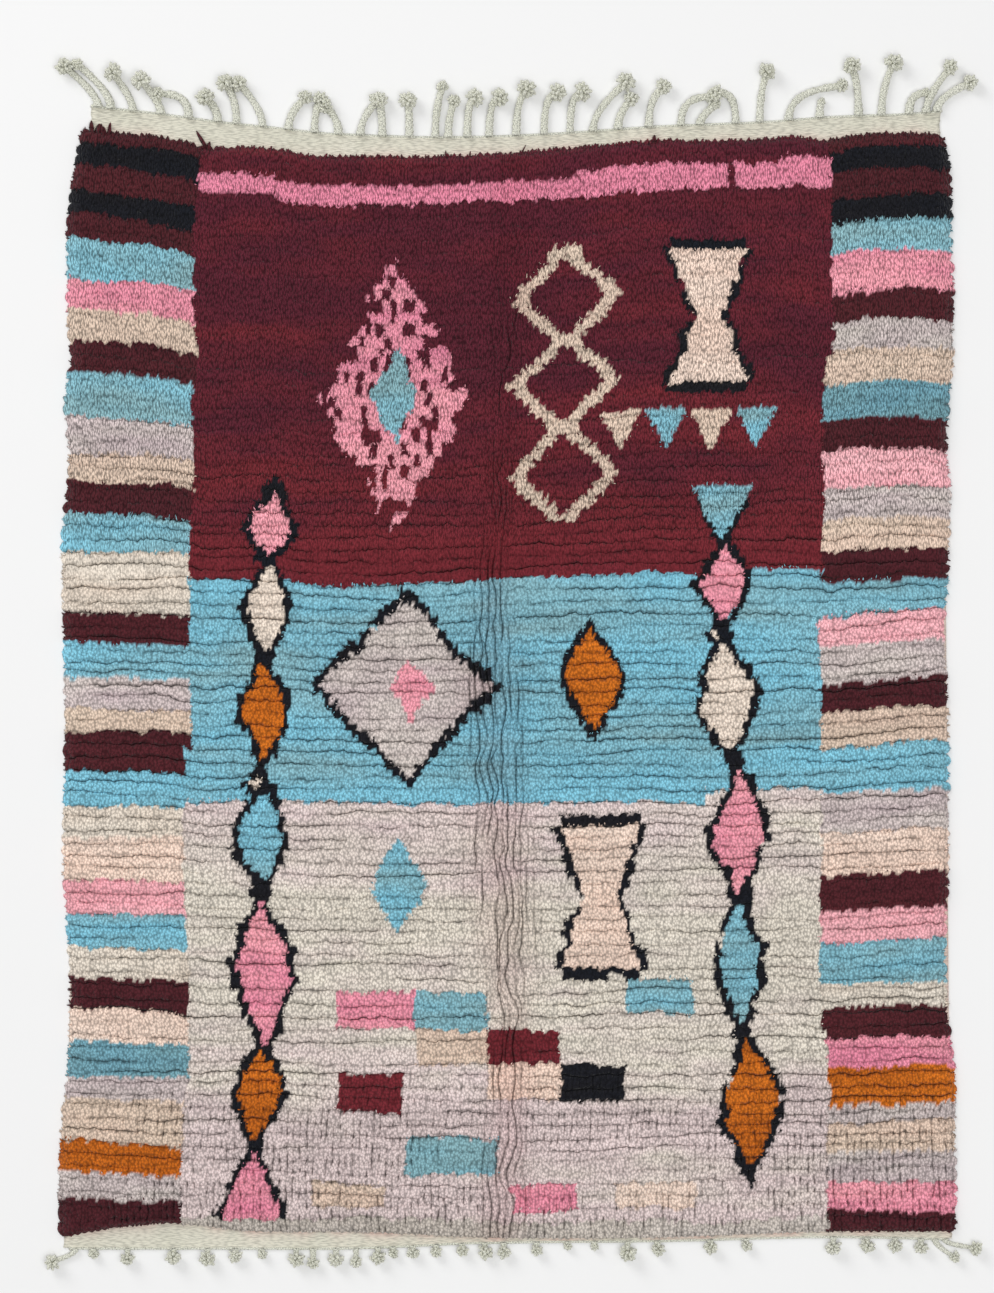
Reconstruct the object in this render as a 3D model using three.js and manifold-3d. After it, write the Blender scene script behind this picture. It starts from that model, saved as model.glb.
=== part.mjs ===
// A hand-knotted wool rug lying flat on a floor.
// Millimetres, +Z up. The origin is the middle of the rug's box, on the floor.
// +Y runs along the warps to the end with the long fringe, +X runs along the wefts.
import * as THREE from 'three';
import { mergeVertices } from 'three/addons/utils/BufferGeometryUtils.js';
import Module from 'manifold-3d';

const wasm = await Module();
wasm.setup();

// Driving sizes of the ground weave and the knotted pile.
const GROUND_THICKNESS = 3;
const GROUND_INSET = 12;
const OUTLINE_PITCH = 40;
const PIECE_GAP = 0.3;
const KNOT_ROWS = 90;
const PILE_TOP = 19;
const ROW_GROOVE = 4.5;
const SHOULDER_HEIGHT = 10.5;
const SHOULDER_INSET = 7;

// The soft lengthwise crease where the rug was folded, and the two sets of lumps in the pile.
const CREASE = { x: -28, width: 45, height: 4, sway: 12, swayPitch: 260 };
const LUMPS = [
  { rise: 1.3, across: 83, along: 131, start: 0 },
  { rise: 1.0, across: 47, along: -71, start: 2 },
];

// Driving sizes of the locks along the pile's rim, and the start of each one's uneven spread.
const SIDE_LOCK = { short: 4, long: 17, spread: 3 };
const END_LOCK = { short: 3, long: 13, spread: 7 };
const LOCK_SPACING = 46;
const LOCK_GAP_HEIGHT = 2;
const END_LOCK_MARGIN = 1;
const OVERHANG = 9;
const SETTLING_PASSES = 3;

// Driving sizes of the two fringes.
const STRIP_WIDTH = 6;
const STRIP_HEIGHT = 3;
const STRIP_GAP = 2 * PIECE_GAP;
const TOP_STRIP = { from: -846, to: 862 };
const BOTTOM_STRIP = { from: -890, to: 876 };
const TOP_CORD = { width: 16, height: 8, steps: 5 };
const BOTTOM_CORD = { width: 10, height: 6, steps: 2 };
const CORD_CREST = 2 / 3;
const CORD_TURN = 0.4;
const ROOT_DEPTH = 0.4;

// A puff's outline, in shares of its radius, from the floor to its crown.
const PUFF_SIDES = 6;
const PUFF_OUTLINE = [
  { out: 0, up: 0 },
  { out: 0.6, up: 0 },
  { out: 1, up: 0.7 },
  { out: 0.7, up: 1.35 },
  { out: 0, up: 1.6 },
];

// The pile's left and right edges, one row for each section of the length.
const SIDE_EDGES = [
  { y: -1150, left: -909, right: 891 },
  { y: -675, left: -902, right: 874 },
  { y: -300, left: -897, right: 871 },
  { y: 0, left: -899, right: 866 },
  { y: 400, left: -900, right: 874 },
  { y: 700, left: -894, right: 880 },
  { y: 900, left: -891, right: 880 },
  { y: 1000, left: -880, right: 878 },
  { y: 1065, left: -866, right: 860 },
];

// Where the pile stops and where the woven heading stops, at the top end.
const TOP_EDGES = [
  { x: -880, pile: 1068, heading: 1118 },
  { x: -716, pile: 1049, heading: 1099 },
  { x: -586, pile: 1036, heading: 1081 },
  { x: -468, pile: 1022, heading: 1069 },
  { x: -346, pile: 1011, heading: 1057 },
  { x: -142, pile: 1010, heading: 1051 },
  { x: 62, pile: 1022, heading: 1057 },
  { x: 294, pile: 1044, heading: 1073 },
  { x: 494, pile: 1047, heading: 1081 },
  { x: 634, pile: 1050, heading: 1093 },
  { x: 788, pile: 1057, heading: 1098 },
  { x: 880, pile: 1056, heading: 1116 },
];

// The same at the bottom end, where the heading narrows towards the right.
const BOTTOM_EDGES = [
  { x: -910, pile: -1150, heading: -1173 },
  { x: -788, pile: -1129, heading: -1173 },
  { x: -690, pile: -1121, heading: -1173 },
  { x: -532, pile: -1137, heading: -1173 },
  { x: -346, pile: -1139, heading: -1173 },
  { x: -224, pile: -1142, heading: -1169 },
  { x: -102, pile: -1149, heading: -1163 },
  { x: 62, pile: -1152, heading: -1160 },
  { x: 294, pile: -1150, heading: -1158 },
  { x: 634, pile: -1138, heading: -1150 },
  { x: 900, pile: -1138, heading: -1155 },
];

// Steps of the uneven spread that sets the lengths of the locks.
const UNEVEN = { step: 12.9898, startStep: 78.233, spread: 43758.5453 };

// Columns across the pile, closer together at the rim and at the crease.
const PILE_COLUMNS = [0, 0.02, 0.12, 0.24, 0.36, 0.44, 0.475, 0.51, 0.56, 0.68, 0.8, 0.9, 0.98, 1];

// Each long cord of the top fringe: where it leaves the heading, how far its end leans sideways,
// how far it reaches, how far it runs straight out first, and its puff's radius.
const CORD_COLUMNS = ['root', 'lean', 'reach', 'rise', 'puff'];
const TOP_CORDS = named(CORD_COLUMNS, [
  [-832, -66, 80, 20, 18],
  [-806, -68, 92, 26, 11],
  [-762, -38, 74, 16, 20],
  [-706, -38, 64, 16, 20],
  [-650, -36, 40, 30, 12],
  [-592, -24, 48, 20, 18],
  [-554, -22, 82, 34, 17],
  [-502, -36, 88, 20, 16],
  [-450, 34, 66, 22, 15],
  [-398, 14, 68, 30, 14],
  [-350, 0, 56, 20, 14],
  [-306, 18, 70, 24, 13],
  [-262, 10, 60, 26, 14],
  [-208, -4, 72, 36, 17],
  [-156, 14, 102, 50, 12],
  [-130, 12, 72, 34, 12],
  [-92, 12, 80, 40, 18],
  [-48, 16, 80, 40, 18],
  [6, 20, 94, 40, 18],
  [62, 24, 84, 40, 17],
  [114, 22, 80, 36, 18],
  [160, 68, 98, 34, 19],
  [210, 34, 54, 20, 14],
  [272, 26, 80, 36, 16],
  [336, 50, 52, 38, 14],
  [374, 34, 32, 12, 10],
  [446, -26, 68, 42, 16],
  [494, 16, 100, 50, 17],
  [552, 98, 68, 40, 12],
  [614, 4, 34, 18, 10],
  [692, -6, 100, 50, 17],
  [738, 24, 104, 46, 18],
  [793, 16, 34, 16, 9],
  [827, 50, 90, 24, 17],
  [849, 66, 56, 22, 15],
]);

// Each short cord of the bottom fringe, whose knots peek out from the heading.
const BOTTOM_CORDS = named(CORD_COLUMNS, [
  [-876, -46, 26, 8, 15],
  [-840, 0, 11, 4, 10],
  [-772, 0, 20, 8, 13],
  [-680, 0, 17, 6, 15],
  [-612, 0, 20, 8, 15],
  [-556, 0, 15, 6, 13],
  [-502, 0, 12, 4, 10],
  [-434, 0, 20, 8, 15],
  [-400, 0, 28, 10, 12],
  [-354, 0, 21, 8, 15],
  [-314, 0, 26, 10, 12],
  [-270, 0, 19, 8, 14],
  [-240, 0, 13, 5, 10],
  [-200, 0, 14, 5, 12],
  [-154, 0, 14, 5, 11],
  [-102, 0, 14, 5, 12],
  [-56, 0, 18, 7, 15],
  [-18, 0, 18, 7, 13],
  [48, 0, 15, 5, 12],
  [110, 0, 10, 4, 8],
  [164, 0, 10, 4, 8],
  [230, 0, 22, 8, 17],
  [290, 0, 16, 6, 13],
  [396, 0, 15, 6, 13],
  [468, 0, 14, 5, 11],
  [642, 0, 20, 8, 15],
  [710, 0, 17, 6, 14],
  [766, 0, 15, 5, 13],
  [818, 0, 17, 6, 13],
  [846, 38, 36, 8, 11],
  [866, 60, 18, 5, 13],
]);

// Turns rows of plain numbers into rows with named columns.
function named(columns, rows) {
  return rows.map((row) => Object.fromEntries(columns.map((name, k) => [name, row[k]])));
}

// Reads a column of a table at a place between its rows, along a smooth line through them.
function readTable(table, key, column, at) {
  const last = table.length - 1;
  const next = table.findIndex((row) => row[key] >= at);
  const right = next < 0 ? last : Math.max(next, 1);
  const left = right - 1;
  const span = table[right][key] - table[left][key];
  const share = THREE.MathUtils.clamp((at - table[left][key]) / span, 0, 1);
  const slope = (k) => {
    const before = table[Math.max(k - 1, 0)];
    const after = table[Math.min(k + 1, last)];
    return (after[column] - before[column]) / (after[key] - before[key]);
  };
  const [a, b] = [table[left][column], table[right][column]];
  const square = share * share;
  const cube = square * share;
  return (
    a * (2 * cube - 3 * square + 1) +
    b * (3 * square - 2 * cube) +
    span * (slope(left) * (cube - 2 * square + share) + slope(right) * (cube - square))
  );
}

// An uneven spread of numbers from 0 to 1 that is the same on every run.
function uneven(k, start) {
  const wave = UNEVEN.spread * Math.sin(k * UNEVEN.step + start * UNEVEN.startStep);
  return wave - Math.floor(wave);
}

// The place on the rug's plane of a share across and a share along the pile.
function pilePoint(across, along) {
  let x = THREE.MathUtils.lerp(SIDE_EDGES[0].left, SIDE_EDGES[0].right, across);
  let y = 0;
  for (let pass = 0; pass < SETTLING_PASSES; pass += 1) {
    const bottom = readTable(BOTTOM_EDGES, 'x', 'pile', x);
    const top = readTable(TOP_EDGES, 'x', 'pile', x);
    y = THREE.MathUtils.lerp(bottom, top, along);
    const left = readTable(SIDE_EDGES, 'y', 'left', y);
    const right = readTable(SIDE_EDGES, 'y', 'right', y);
    x = THREE.MathUtils.lerp(left, right, across);
  }
  return { x, y };
}

// Height of the pile over the floor: soft lumps and the lengthwise crease, where knots part.
function pileHeight(x, y) {
  const lumps = LUMPS.map((set) => set.rise * Math.sin(x / set.across + y / set.along + set.start));
  const middle = CREASE.x + CREASE.sway * Math.sin(y / CREASE.swayPitch);
  const crease = CREASE.height * Math.exp(-(((x - middle) / CREASE.width) ** 2));
  return PILE_TOP + lumps[0] + lumps[1] + crease;
}

// Stops between two ends at every whole multiple of a pitch, so that neighbours share corners.
function stations(from, to, pitch) {
  const inner = [];
  for (let at = Math.ceil(from / pitch) * pitch; at < to; at += pitch) inner.push(at);
  return [from, ...inner.filter((at) => at > from), to];
}

// Builds a geometry from points and triangles.
function meshOf(points, triangles) {
  const geometry = new THREE.BufferGeometry();
  geometry.setAttribute('position', new THREE.Float32BufferAttribute(points.flat(), 3));
  geometry.setIndex(triangles.flat());
  return geometry;
}

// The thin woven ground: one sheet whose two ends show as the flat headings.
function groundWeave() {
  const left = (y) => readTable(SIDE_EDGES, 'y', 'left', y) + GROUND_INSET;
  const right = (y) => readTable(SIDE_EDGES, 'y', 'right', y) - GROUND_INSET;
  const bottomY = BOTTOM_EDGES[0].pile;
  const topY = TOP_EDGES[0].pile;
  const heights = stations(bottomY, topY, OUTLINE_PITCH);
  const end = (edges, y) =>
    stations(left(y), right(y), OUTLINE_PITCH).map(
      (x) => new THREE.Vector2(x, readTable(edges, 'x', 'heading', x)),
    );
  const outline = [
    ...end(BOTTOM_EDGES, bottomY),
    ...heights.map((y) => new THREE.Vector2(right(y), y)),
    ...end(TOP_EDGES, topY).reverse(),
    ...heights.map((y) => new THREE.Vector2(left(y), y)).reverse(),
  ];
  const options = { depth: GROUND_THICKNESS, bevelEnabled: false };
  return new THREE.ExtrudeGeometry(new THREE.Shape(outline), options);
}

// The knotted pile: a lumpy slab with a low rib for each row of knots and locks at its rim.
// Its under face lies just over the ground weave, and the side locks droop to the floor.
function knottedPile() {
  const points = [];
  const triangles = [];
  const add = (x, y, z) => points.push([x, y, z]) - 1;
  const base = GROUND_THICKNESS + PIECE_GAP;
  const lastRow = 2 * KNOT_ROWS;
  const lastColumn = PILE_COLUMNS.length - 1;

  const grid = [];
  for (let i = 0; i <= lastRow; i += 1) {
    const line = PILE_COLUMNS.map((across, j) => {
      const { x, y } = pilePoint(across, i / lastRow);
      const sideways = j === 0 ? 1 : j === lastColumn ? -1 : 0;
      const endways = i === 0 ? 1 : i === lastRow ? -1 : 0;
      const rim = sideways !== 0 || endways !== 0;
      const groove = i % 2 === 0 ? ROW_GROOVE : 0;
      const height = rim ? SHOULDER_HEIGHT : pileHeight(x, y) - groove;
      return add(x + sideways * SHOULDER_INSET, y + endways * SHOULDER_INSET, height);
    });
    grid.push(line);
  }
  for (let i = 0; i < lastRow; i += 1) {
    for (let j = 0; j < lastColumn; j += 1) {
      const [a, b] = [grid[i][j], grid[i][j + 1]];
      const [c, d] = [grid[i + 1][j + 1], grid[i + 1][j]];
      triangles.push([a, b, c], [a, c, d]);
    }
  }

  // The rim runs round the slab, with three vertices at each stop: shoulder, tip and under edge.
  const rim = [];
  const sideStop = (i, side) => {
    const { x, y } = pilePoint(side < 0 ? 0 : 1, i / lastRow);
    const crest = i % 2 === 1;
    const share = uneven(i, side + SIDE_LOCK.spread);
    const lock = THREE.MathUtils.lerp(SIDE_LOCK.short, SIDE_LOCK.long, share);
    const corner = i === 0 || i === lastRow;
    const low = crest ? 0 : LOCK_GAP_HEIGHT;
    const tip = add(x + side * (crest ? lock : 0), y, corner ? base : low);
    const under = add(x - side * OVERHANG, y, base);
    rim.push({ shoulder: grid[i][side < 0 ? 0 : lastColumn], tip, under });
  };
  const endStops = (end) => {
    const i = end < 0 ? 0 : lastRow;
    const edges = end < 0 ? BOTTOM_EDGES : TOP_EDGES;
    const order = PILE_COLUMNS.map((_, j) => (end < 0 ? j : lastColumn - j));
    order.slice(0, -1).forEach((from, k) => {
      const to = order[k + 1];
      const start = pilePoint(PILE_COLUMNS[from], i / lastRow).x;
      const stop = pilePoint(PILE_COLUMNS[to], i / lastRow).x;
      const count = 2 * Math.ceil(Math.abs(stop - start) / LOCK_SPACING / 2);
      const stops = k === lastColumn - 1 ? count - 1 : count;
      for (let m = 1; m <= stops; m += 1) {
        const x = THREE.MathUtils.lerp(start, stop, m / count);
        const y = readTable(edges, 'x', 'pile', x);
        const room = Math.abs(readTable(edges, 'x', 'heading', x) - y) + END_LOCK_MARGIN;
        const share = uneven(rim.length, end + END_LOCK.spread);
        const lock = Math.min(THREE.MathUtils.lerp(END_LOCK.short, END_LOCK.long, share), room);
        const tip = add(x, y + end * (m % 2 === 1 ? lock : 0), base);
        const under = add(x, y - end * SHOULDER_INSET, base);
        rim.push({ shoulder: grid[i][m < count / 2 ? from : to], tip, under });
      }
    });
  };
  endStops(-1);
  for (let i = 0; i <= lastRow; i += 1) sideStop(i, 1);
  endStops(1);
  for (let i = lastRow; i >= 0; i -= 1) sideStop(i, -1);

  rim.forEach((stop, k) => {
    const next = rim[(k + 1) % rim.length];
    triangles.push([stop.tip, next.tip, next.shoulder]);
    if (next.shoulder !== stop.shoulder) triangles.push([stop.tip, next.shoulder, stop.shoulder]);
    triangles.push([stop.tip, stop.under, next.under], [stop.tip, next.under, next.tip]);
  });
  const underside = rim.map((stop) => new THREE.Vector2(points[stop.under][0], points[stop.under][1]));
  THREE.ShapeUtils.triangulateShape(underside, []).forEach(([a, b, c]) => {
    triangles.push([rim[a].under, rim[c].under, rim[b].under]);
  });
  return meshOf(points, triangles);
}

// A closed geometry as a solid that can be joined to others.
function solidOf(geometry) {
  const bare = geometry.clone();
  bare.deleteAttribute('normal');
  bare.deleteAttribute('uv');
  const merged = mergeVertices(bare, 1e-4);
  return new wasm.Manifold(
    new wasm.Mesh({
      numProp: 3,
      vertProperties: new Float32Array(merged.attributes.position.array),
      triVerts: new Uint32Array(merged.index.array),
    }),
  );
}

// A joined solid as a geometry again.
function geometryOf(solid) {
  const mesh = solid.getMesh();
  const geometry = new THREE.BufferGeometry();
  geometry.setAttribute('position', new THREE.BufferAttribute(mesh.vertProperties, 3));
  geometry.setIndex(new THREE.BufferAttribute(mesh.triVerts, 1));
  return geometry;
}

// The narrow strip along a heading's edge that the cords grow out of.
function backingStrip(edges, outwards, { from, to }) {
  const near = [];
  const far = [];
  stations(from, to, OUTLINE_PITCH).forEach((x) => {
    const y = readTable(edges, 'x', 'heading', x) + outwards * STRIP_GAP;
    near.push(new THREE.Vector2(x, y));
    far.unshift(new THREE.Vector2(x, y + outwards * STRIP_WIDTH));
  });
  const options = { depth: STRIP_HEIGHT, bevelEnabled: false };
  return new THREE.ExtrudeGeometry(new THREE.Shape([...near, ...far]), options);
}

// A twisted cord lying on the floor: a four-sided section, flat below, carried along a curve.
function lyingCord(curve, { width, height, steps }) {
  const points = [];
  const triangles = [];
  for (let k = 0; k <= steps; k += 1) {
    const { x, y } = curve.getPoint(k / steps);
    const way = curve.getTangent(k / steps);
    const tall = k === 0 ? STRIP_HEIGHT : height;
    const corners = [
      { out: -width / 2, up: 0 },
      { out: width / 2, up: 0 },
      { out: (width / 2) * CORD_CREST, up: tall },
      { out: (-width / 2) * CORD_CREST, up: tall },
    ];
    corners.forEach(({ out, up }) => points.push([x + way.y * out, y - way.x * out, up]));
  }
  for (let k = 0; k < steps; k += 1) {
    for (let side = 0; side < 4; side += 1) {
      const [a, b] = [4 * k + side, 4 * k + ((side + 1) % 4)];
      triangles.push([a, b + 4, b], [a, a + 4, b + 4]);
    }
  }
  const end = 4 * steps;
  triangles.push([0, 1, 2], [0, 2, 3], [end, end + 2, end + 1], [end, end + 3, end + 2]);
  return meshOf(points, triangles);
}

// The fluffy end of a cord: a squat ball that rests on a flat spot.
function puff(radius) {
  const profile = PUFF_OUTLINE.map(({ out, up }) => new THREE.Vector2(radius * out, radius * up));
  return new THREE.LatheGeometry(profile, PUFF_SIDES).rotateX(Math.PI / 2);
}

// A whole fringe in one piece: the strip, its cords and their puffs.
function fringe(edges, outwards, strip, cords, section) {
  let whole = solidOf(backingStrip(edges, outwards, strip));
  cords.forEach(({ root, lean, reach, rise, puff: radius }) => {
    const edge = readTable(edges, 'x', 'heading', root);
    const start = new THREE.Vector2(root, edge + outwards * (STRIP_GAP + STRIP_WIDTH * ROOT_DEPTH));
    const out = new THREE.Vector2(root, edge + outwards * (STRIP_WIDTH + rise));
    const end = new THREE.Vector2(root + lean, edge + outwards * (STRIP_GAP + reach));
    const turn = end.clone().lerp(out, CORD_TURN);
    const curve = new THREE.CubicBezierCurve(start, out, turn, end);
    whole = whole.add(solidOf(lyingCord(curve, section)));
    whole = whole.add(solidOf(puff(radius).translate(end.x, end.y, 0)));
  });
  return geometryOf(whole);
}

// Matt wool in a colour, for a named sub-part.
function woollen(name, geometry, colour) {
  const material = new THREE.MeshStandardMaterial({ color: colour, roughness: 0.95, metalness: 0 });
  const mesh = new THREE.Mesh(geometry, material);
  mesh.name = name;
  return mesh;
}

const TOP_FRINGE = fringe(TOP_EDGES, 1, TOP_STRIP, TOP_CORDS, TOP_CORD);
const BOTTOM_FRINGE = fringe(BOTTOM_EDGES, -1, BOTTOM_STRIP, BOTTOM_CORDS, BOTTOM_CORD);

const rug = new THREE.Group();
rug.add(
  woollen('ground_weave', groundWeave(), '#d7d2be'),
  woollen('knotted_pile', knottedPile(), '#8a5a62'),
  woollen('fringe_top', TOP_FRINGE, '#d2cdbb'),
  woollen('fringe_bottom', BOTTOM_FRINGE, '#cfcaba'),
);

export default rug;
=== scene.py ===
# %% [markdown]
# # A hand-knotted wool rug lying flat
# The rug has four parts that a weaver would name: the woven ground with a flat heading at each end,
# the thick pile knotted into it row by row, and the two fringes of corded warp ends.
# The plan here is to work every surface out with numpy in millimetres, in the rug's own terms of
# knots across and rows along, and to give it to Blender in metres only when a mesh is made.

import bpy
import numpy as np
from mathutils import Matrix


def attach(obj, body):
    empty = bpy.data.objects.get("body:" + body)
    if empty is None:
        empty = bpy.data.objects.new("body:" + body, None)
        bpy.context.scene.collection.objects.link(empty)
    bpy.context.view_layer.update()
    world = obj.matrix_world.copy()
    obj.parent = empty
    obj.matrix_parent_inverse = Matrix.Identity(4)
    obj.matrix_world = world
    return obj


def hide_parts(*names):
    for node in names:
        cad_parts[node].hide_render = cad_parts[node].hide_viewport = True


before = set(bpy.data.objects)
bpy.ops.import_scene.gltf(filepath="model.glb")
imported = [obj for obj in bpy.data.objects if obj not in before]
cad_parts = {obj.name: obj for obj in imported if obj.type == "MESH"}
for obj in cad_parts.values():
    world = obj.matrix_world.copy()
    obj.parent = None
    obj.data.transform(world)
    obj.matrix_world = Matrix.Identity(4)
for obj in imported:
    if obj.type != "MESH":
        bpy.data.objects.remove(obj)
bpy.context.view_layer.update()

MM = 0.001
BODY = "root"

# %% [markdown]
# ## The view and the room
# The rug is looked at from straight above, so the camera hangs over it and looks down with no turn.
# A long lens from high up keeps the edges of the rug straight, which a near camera would bend.
# One broad soft light stands high up, a little to the lower right, and makes the whole rug even. A
# second one stands lower at the upper left and draws the furrows between the rows. The pale floor
# and the pale surroundings fill the shadows.

# %% Camera
PHOTO_WIDTH_PX, PHOTO_HEIGHT_PX = 994, 1293
MM_PER_PX = 2.0
PHOTO_ORIGIN_PX = (513.0, 662.5)
LENS_MM, SENSOR_MM = 100.0, 36.0
PILE_TOP = 19.0


def hang_camera():
    """Hangs the camera where the long side of its picture spans the long side of the photograph.
    Distance is lens times width seen over sensor width, above the top of the pile."""
    seen = PHOTO_HEIGHT_PX * MM_PER_PX
    height = PILE_TOP + seen * LENS_MM / SENSOR_MM
    x = (PHOTO_WIDTH_PX / 2 - PHOTO_ORIGIN_PX[0]) * MM_PER_PX
    y = (PHOTO_ORIGIN_PX[1] - PHOTO_HEIGHT_PX / 2) * MM_PER_PX
    lens = bpy.data.cameras.new("overhead_camera")
    lens.lens, lens.sensor_width = LENS_MM, SENSOR_MM
    camera = bpy.data.objects.new("overhead_camera", lens)
    camera.location = (x * MM, y * MM, height * MM)
    lens.clip_end = 2 * height * MM
    bpy.context.scene.collection.objects.link(camera)
    bpy.context.scene.camera = camera
    print("camera height", round(height * MM, 2), "m")


hang_camera()

# %% Lights and surroundings
SOFT_LIGHTS = [
    {"name": "overhead_softbox", "place": (2.0, -1.8, 9.5), "side": 6.0, "watts": 362},
    {"name": "upper_left_softbox", "place": (-6.2, 6.2, 5.4), "side": 5.0, "watts": 362},
]
SURROUND_STRENGTH = 0.49


def hang_light(name, place, side, watts):
    """A square softbox at a place in metres, turned to face the middle of the rug."""
    lamp = bpy.data.lights.new(name, "AREA")
    lamp.shape, lamp.size, lamp.energy = "SQUARE", side, watts
    holder = bpy.data.objects.new(name, lamp)
    holder.location = place
    holder.rotation_mode = "QUATERNION"
    holder.rotation_quaternion = holder.location.to_track_quat("Z", "Y")
    bpy.context.scene.collection.objects.link(holder)


for softbox in SOFT_LIGHTS:
    hang_light(**softbox)

surround = bpy.data.worlds.new("pale_room")
surround.use_nodes = True
surround.node_tree.nodes["Background"].inputs["Color"].default_value = (1.0, 1.0, 1.0, 1.0)
surround.node_tree.nodes["Background"].inputs["Strength"].default_value = SURROUND_STRENGTH
bpy.context.scene.world = surround
bpy.context.scene.view_settings.view_transform = "Standard"

# %% [markdown]
# ## Unevenness that is the same on every run
# Hand work drifts: a row wanders, a dye bath runs out, one knot stands higher than the next.
# A field of smooth random numbers gives all of these. Random numbers sit at the corners of a wide
# net, and between the corners they are blended, so that a wide net makes slow drift and a narrow
# one makes single knots differ. Each use has a seed of its own.

# %% Drift and scatter


def drift(u, v, pitch_u, pitch_v, seed):
    """A smooth uneven field from -1 to 1 over two coordinates. Random numbers at the corners of a
    net with the given pitches are blended with the smooth weight 3 t squared minus 2 t cubed."""
    a, b = np.broadcast_arrays(np.asarray(u, float) / pitch_u, np.asarray(v, float) / pitch_v)
    low_a, low_b = np.floor(a), np.floor(b)
    i = (low_a - low_a.min()).astype(int)
    j = (low_b - low_b.min()).astype(int)
    net = np.random.default_rng(seed).uniform(-1, 1, (i.max() + 2, j.max() + 2))
    weight_a, weight_b = (t * t * (3 - 2 * t) for t in (a - low_a, b - low_b))
    near = net[i, j] * (1 - weight_b) + net[i, j + 1] * weight_b
    far = net[i + 1, j] * (1 - weight_b) + net[i + 1, j + 1] * weight_b
    return near * (1 - weight_a) + far * weight_a


def scatter(shape, low, high, seed):
    """Random numbers between two ends, the same on every run."""
    return np.random.default_rng(seed).uniform(low, high, shape)


def ease(value, start, end):
    """0 before start, 1 after end and a smooth rise between them."""
    share = np.clip((value - start) / (end - start), 0, 1)
    return share * share * (3 - 2 * share)


# %% [markdown]
# ## Helpers for meshes
# Every piece is made by one helper, which takes points in millimetres, faces as numbers of points,
# and any colour or mask that the finish reads from the piece. Grids that close round on themselves
# are tubes, and nearly everything here is one: the pile, the cords and the locks of wool.

# %% Mesh helpers
# where the pile goes over from rough rolls to brushed tufts: mm up the rug, and the same in rows
BRUSHED_FROM = (70.0, 320.0)
BRUSHED_ROWS = (50, 60)


def make_piece(name, points, faces, colours=None, roots=None):
    """Makes a smooth mesh object at the origin from points in mm, and links it into the scene. Colours
    are a linear colour for each point. Roots are a mask from 0 to 1: painted shade in the pile's
    furrows and bled dye on the ground cloth. Coloured pieces also get a mask of where the pile is
    brushed."""
    mesh = bpy.data.meshes.new(name)
    mesh.from_pydata((np.asarray(points, float) * MM).reshape(-1, 3), [], faces)
    mesh.polygons.foreach_set("use_smooth", np.ones(len(mesh.polygons), bool))
    if colours is not None:
        wool = mesh.attributes.new("wool", "FLOAT_COLOR", "POINT")
        filled = np.ones((len(mesh.vertices), 4), np.float32)
        filled[:, :3] = np.asarray(colours).reshape(-1, 3)
        wool.data.foreach_set("color", filled.ravel())
        brush = mesh.attributes.new("brushed", "FLOAT", "POINT")
        height = np.asarray(points, float).reshape(-1, 3)[:, 1]
        brush.data.foreach_set("value", ease(height, *BRUSHED_FROM).astype(np.float32))
    # the root mask: painted shade in the pile's furrows, and bled dye on the ground cloth
    if roots is not None:
        root = mesh.attributes.new("root", "FLOAT", "POINT")
        root.data.foreach_set("value", np.asarray(roots, np.float32).ravel())
    mesh.update()
    piece = bpy.data.objects.new(name, mesh)
    bpy.context.scene.collection.objects.link(piece)
    triangles = sum(len(face) - 2 for face in faces)
    print(f"{name}: {len(mesh.vertices)} points, {triangles} triangles")
    return piece


def net_faces(rows, columns, wrap):
    """Quads of a net of rows by columns. A net that wraps closes its last column to its first.
    Seen from above, with columns to the right and rows going up, each quad turns left."""
    here = np.arange(rows * columns).reshape(rows, columns)
    beside = np.roll(here, -1, axis=1)
    if not wrap:
        here, beside = here[:, :-1], beside[:, :-1]
    corners = [here[:-1], beside[:-1], beside[1:], here[1:]]
    return np.stack(corners, axis=-1).reshape(-1, 4)


def closed_slab(name, net, under_z, inner, colours=None, roots=None):
    """Makes a closed piece from a net of its top and sides. Under the first and the last line
    stands an end wall, and the underside runs flat between the feet of the two walls. The walls
    leave out a few columns at each side, which small faces close, and one face on each side
    closes the edge of the underside."""
    lines, columns = net.shape[:2]
    index = np.arange(lines * columns).reshape(lines, columns)
    inside = slice(inner, columns - inner)
    feet = net[[0, -1], inside] * (1, 1, 0) + (0, 0, under_z)
    near, far = lines * columns + np.arange(feet[..., 0].size).reshape(2, -1)
    strips = [
        np.stack([low[:-1], low[1:], high[1:], high[:-1]], axis=-1)
        for low, high in ((near, index[0, inside]), (index[-1, inside], far), (far, near))
    ]
    faces = np.concatenate([net_faces(lines, columns, wrap=False), *strips]).tolist()
    closing = [
        [*index[:, 0], far[0], near[0]],
        [*index[::-1, -1], near[-1], far[-1]],
        [near[0], *index[0, inner::-1]],
        [near[-1], *index[0, :-2 - inner:-1]],
        [far[0], *index[-1, :inner + 1]],
        [far[-1], *index[-1, -1 - inner:]],
    ]
    faces.extend([int(corner) for corner in face] for face in closing)
    points = np.concatenate([net.reshape(-1, 3), feet.reshape(-1, 3)])
    if colours is not None:
        colours = np.concatenate([colours.reshape(-1, 3), colours[[0, -1], inside].reshape(-1, 3)])
    # the feet take the full root mask: painted furrow shade on the pile, bled dye on the cloth
    if roots is not None:
        roots = np.concatenate([roots.ravel(), np.ones(2 * feet.shape[1])])
    return make_piece(name, points, faces, colours=colours, roots=roots)


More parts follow.
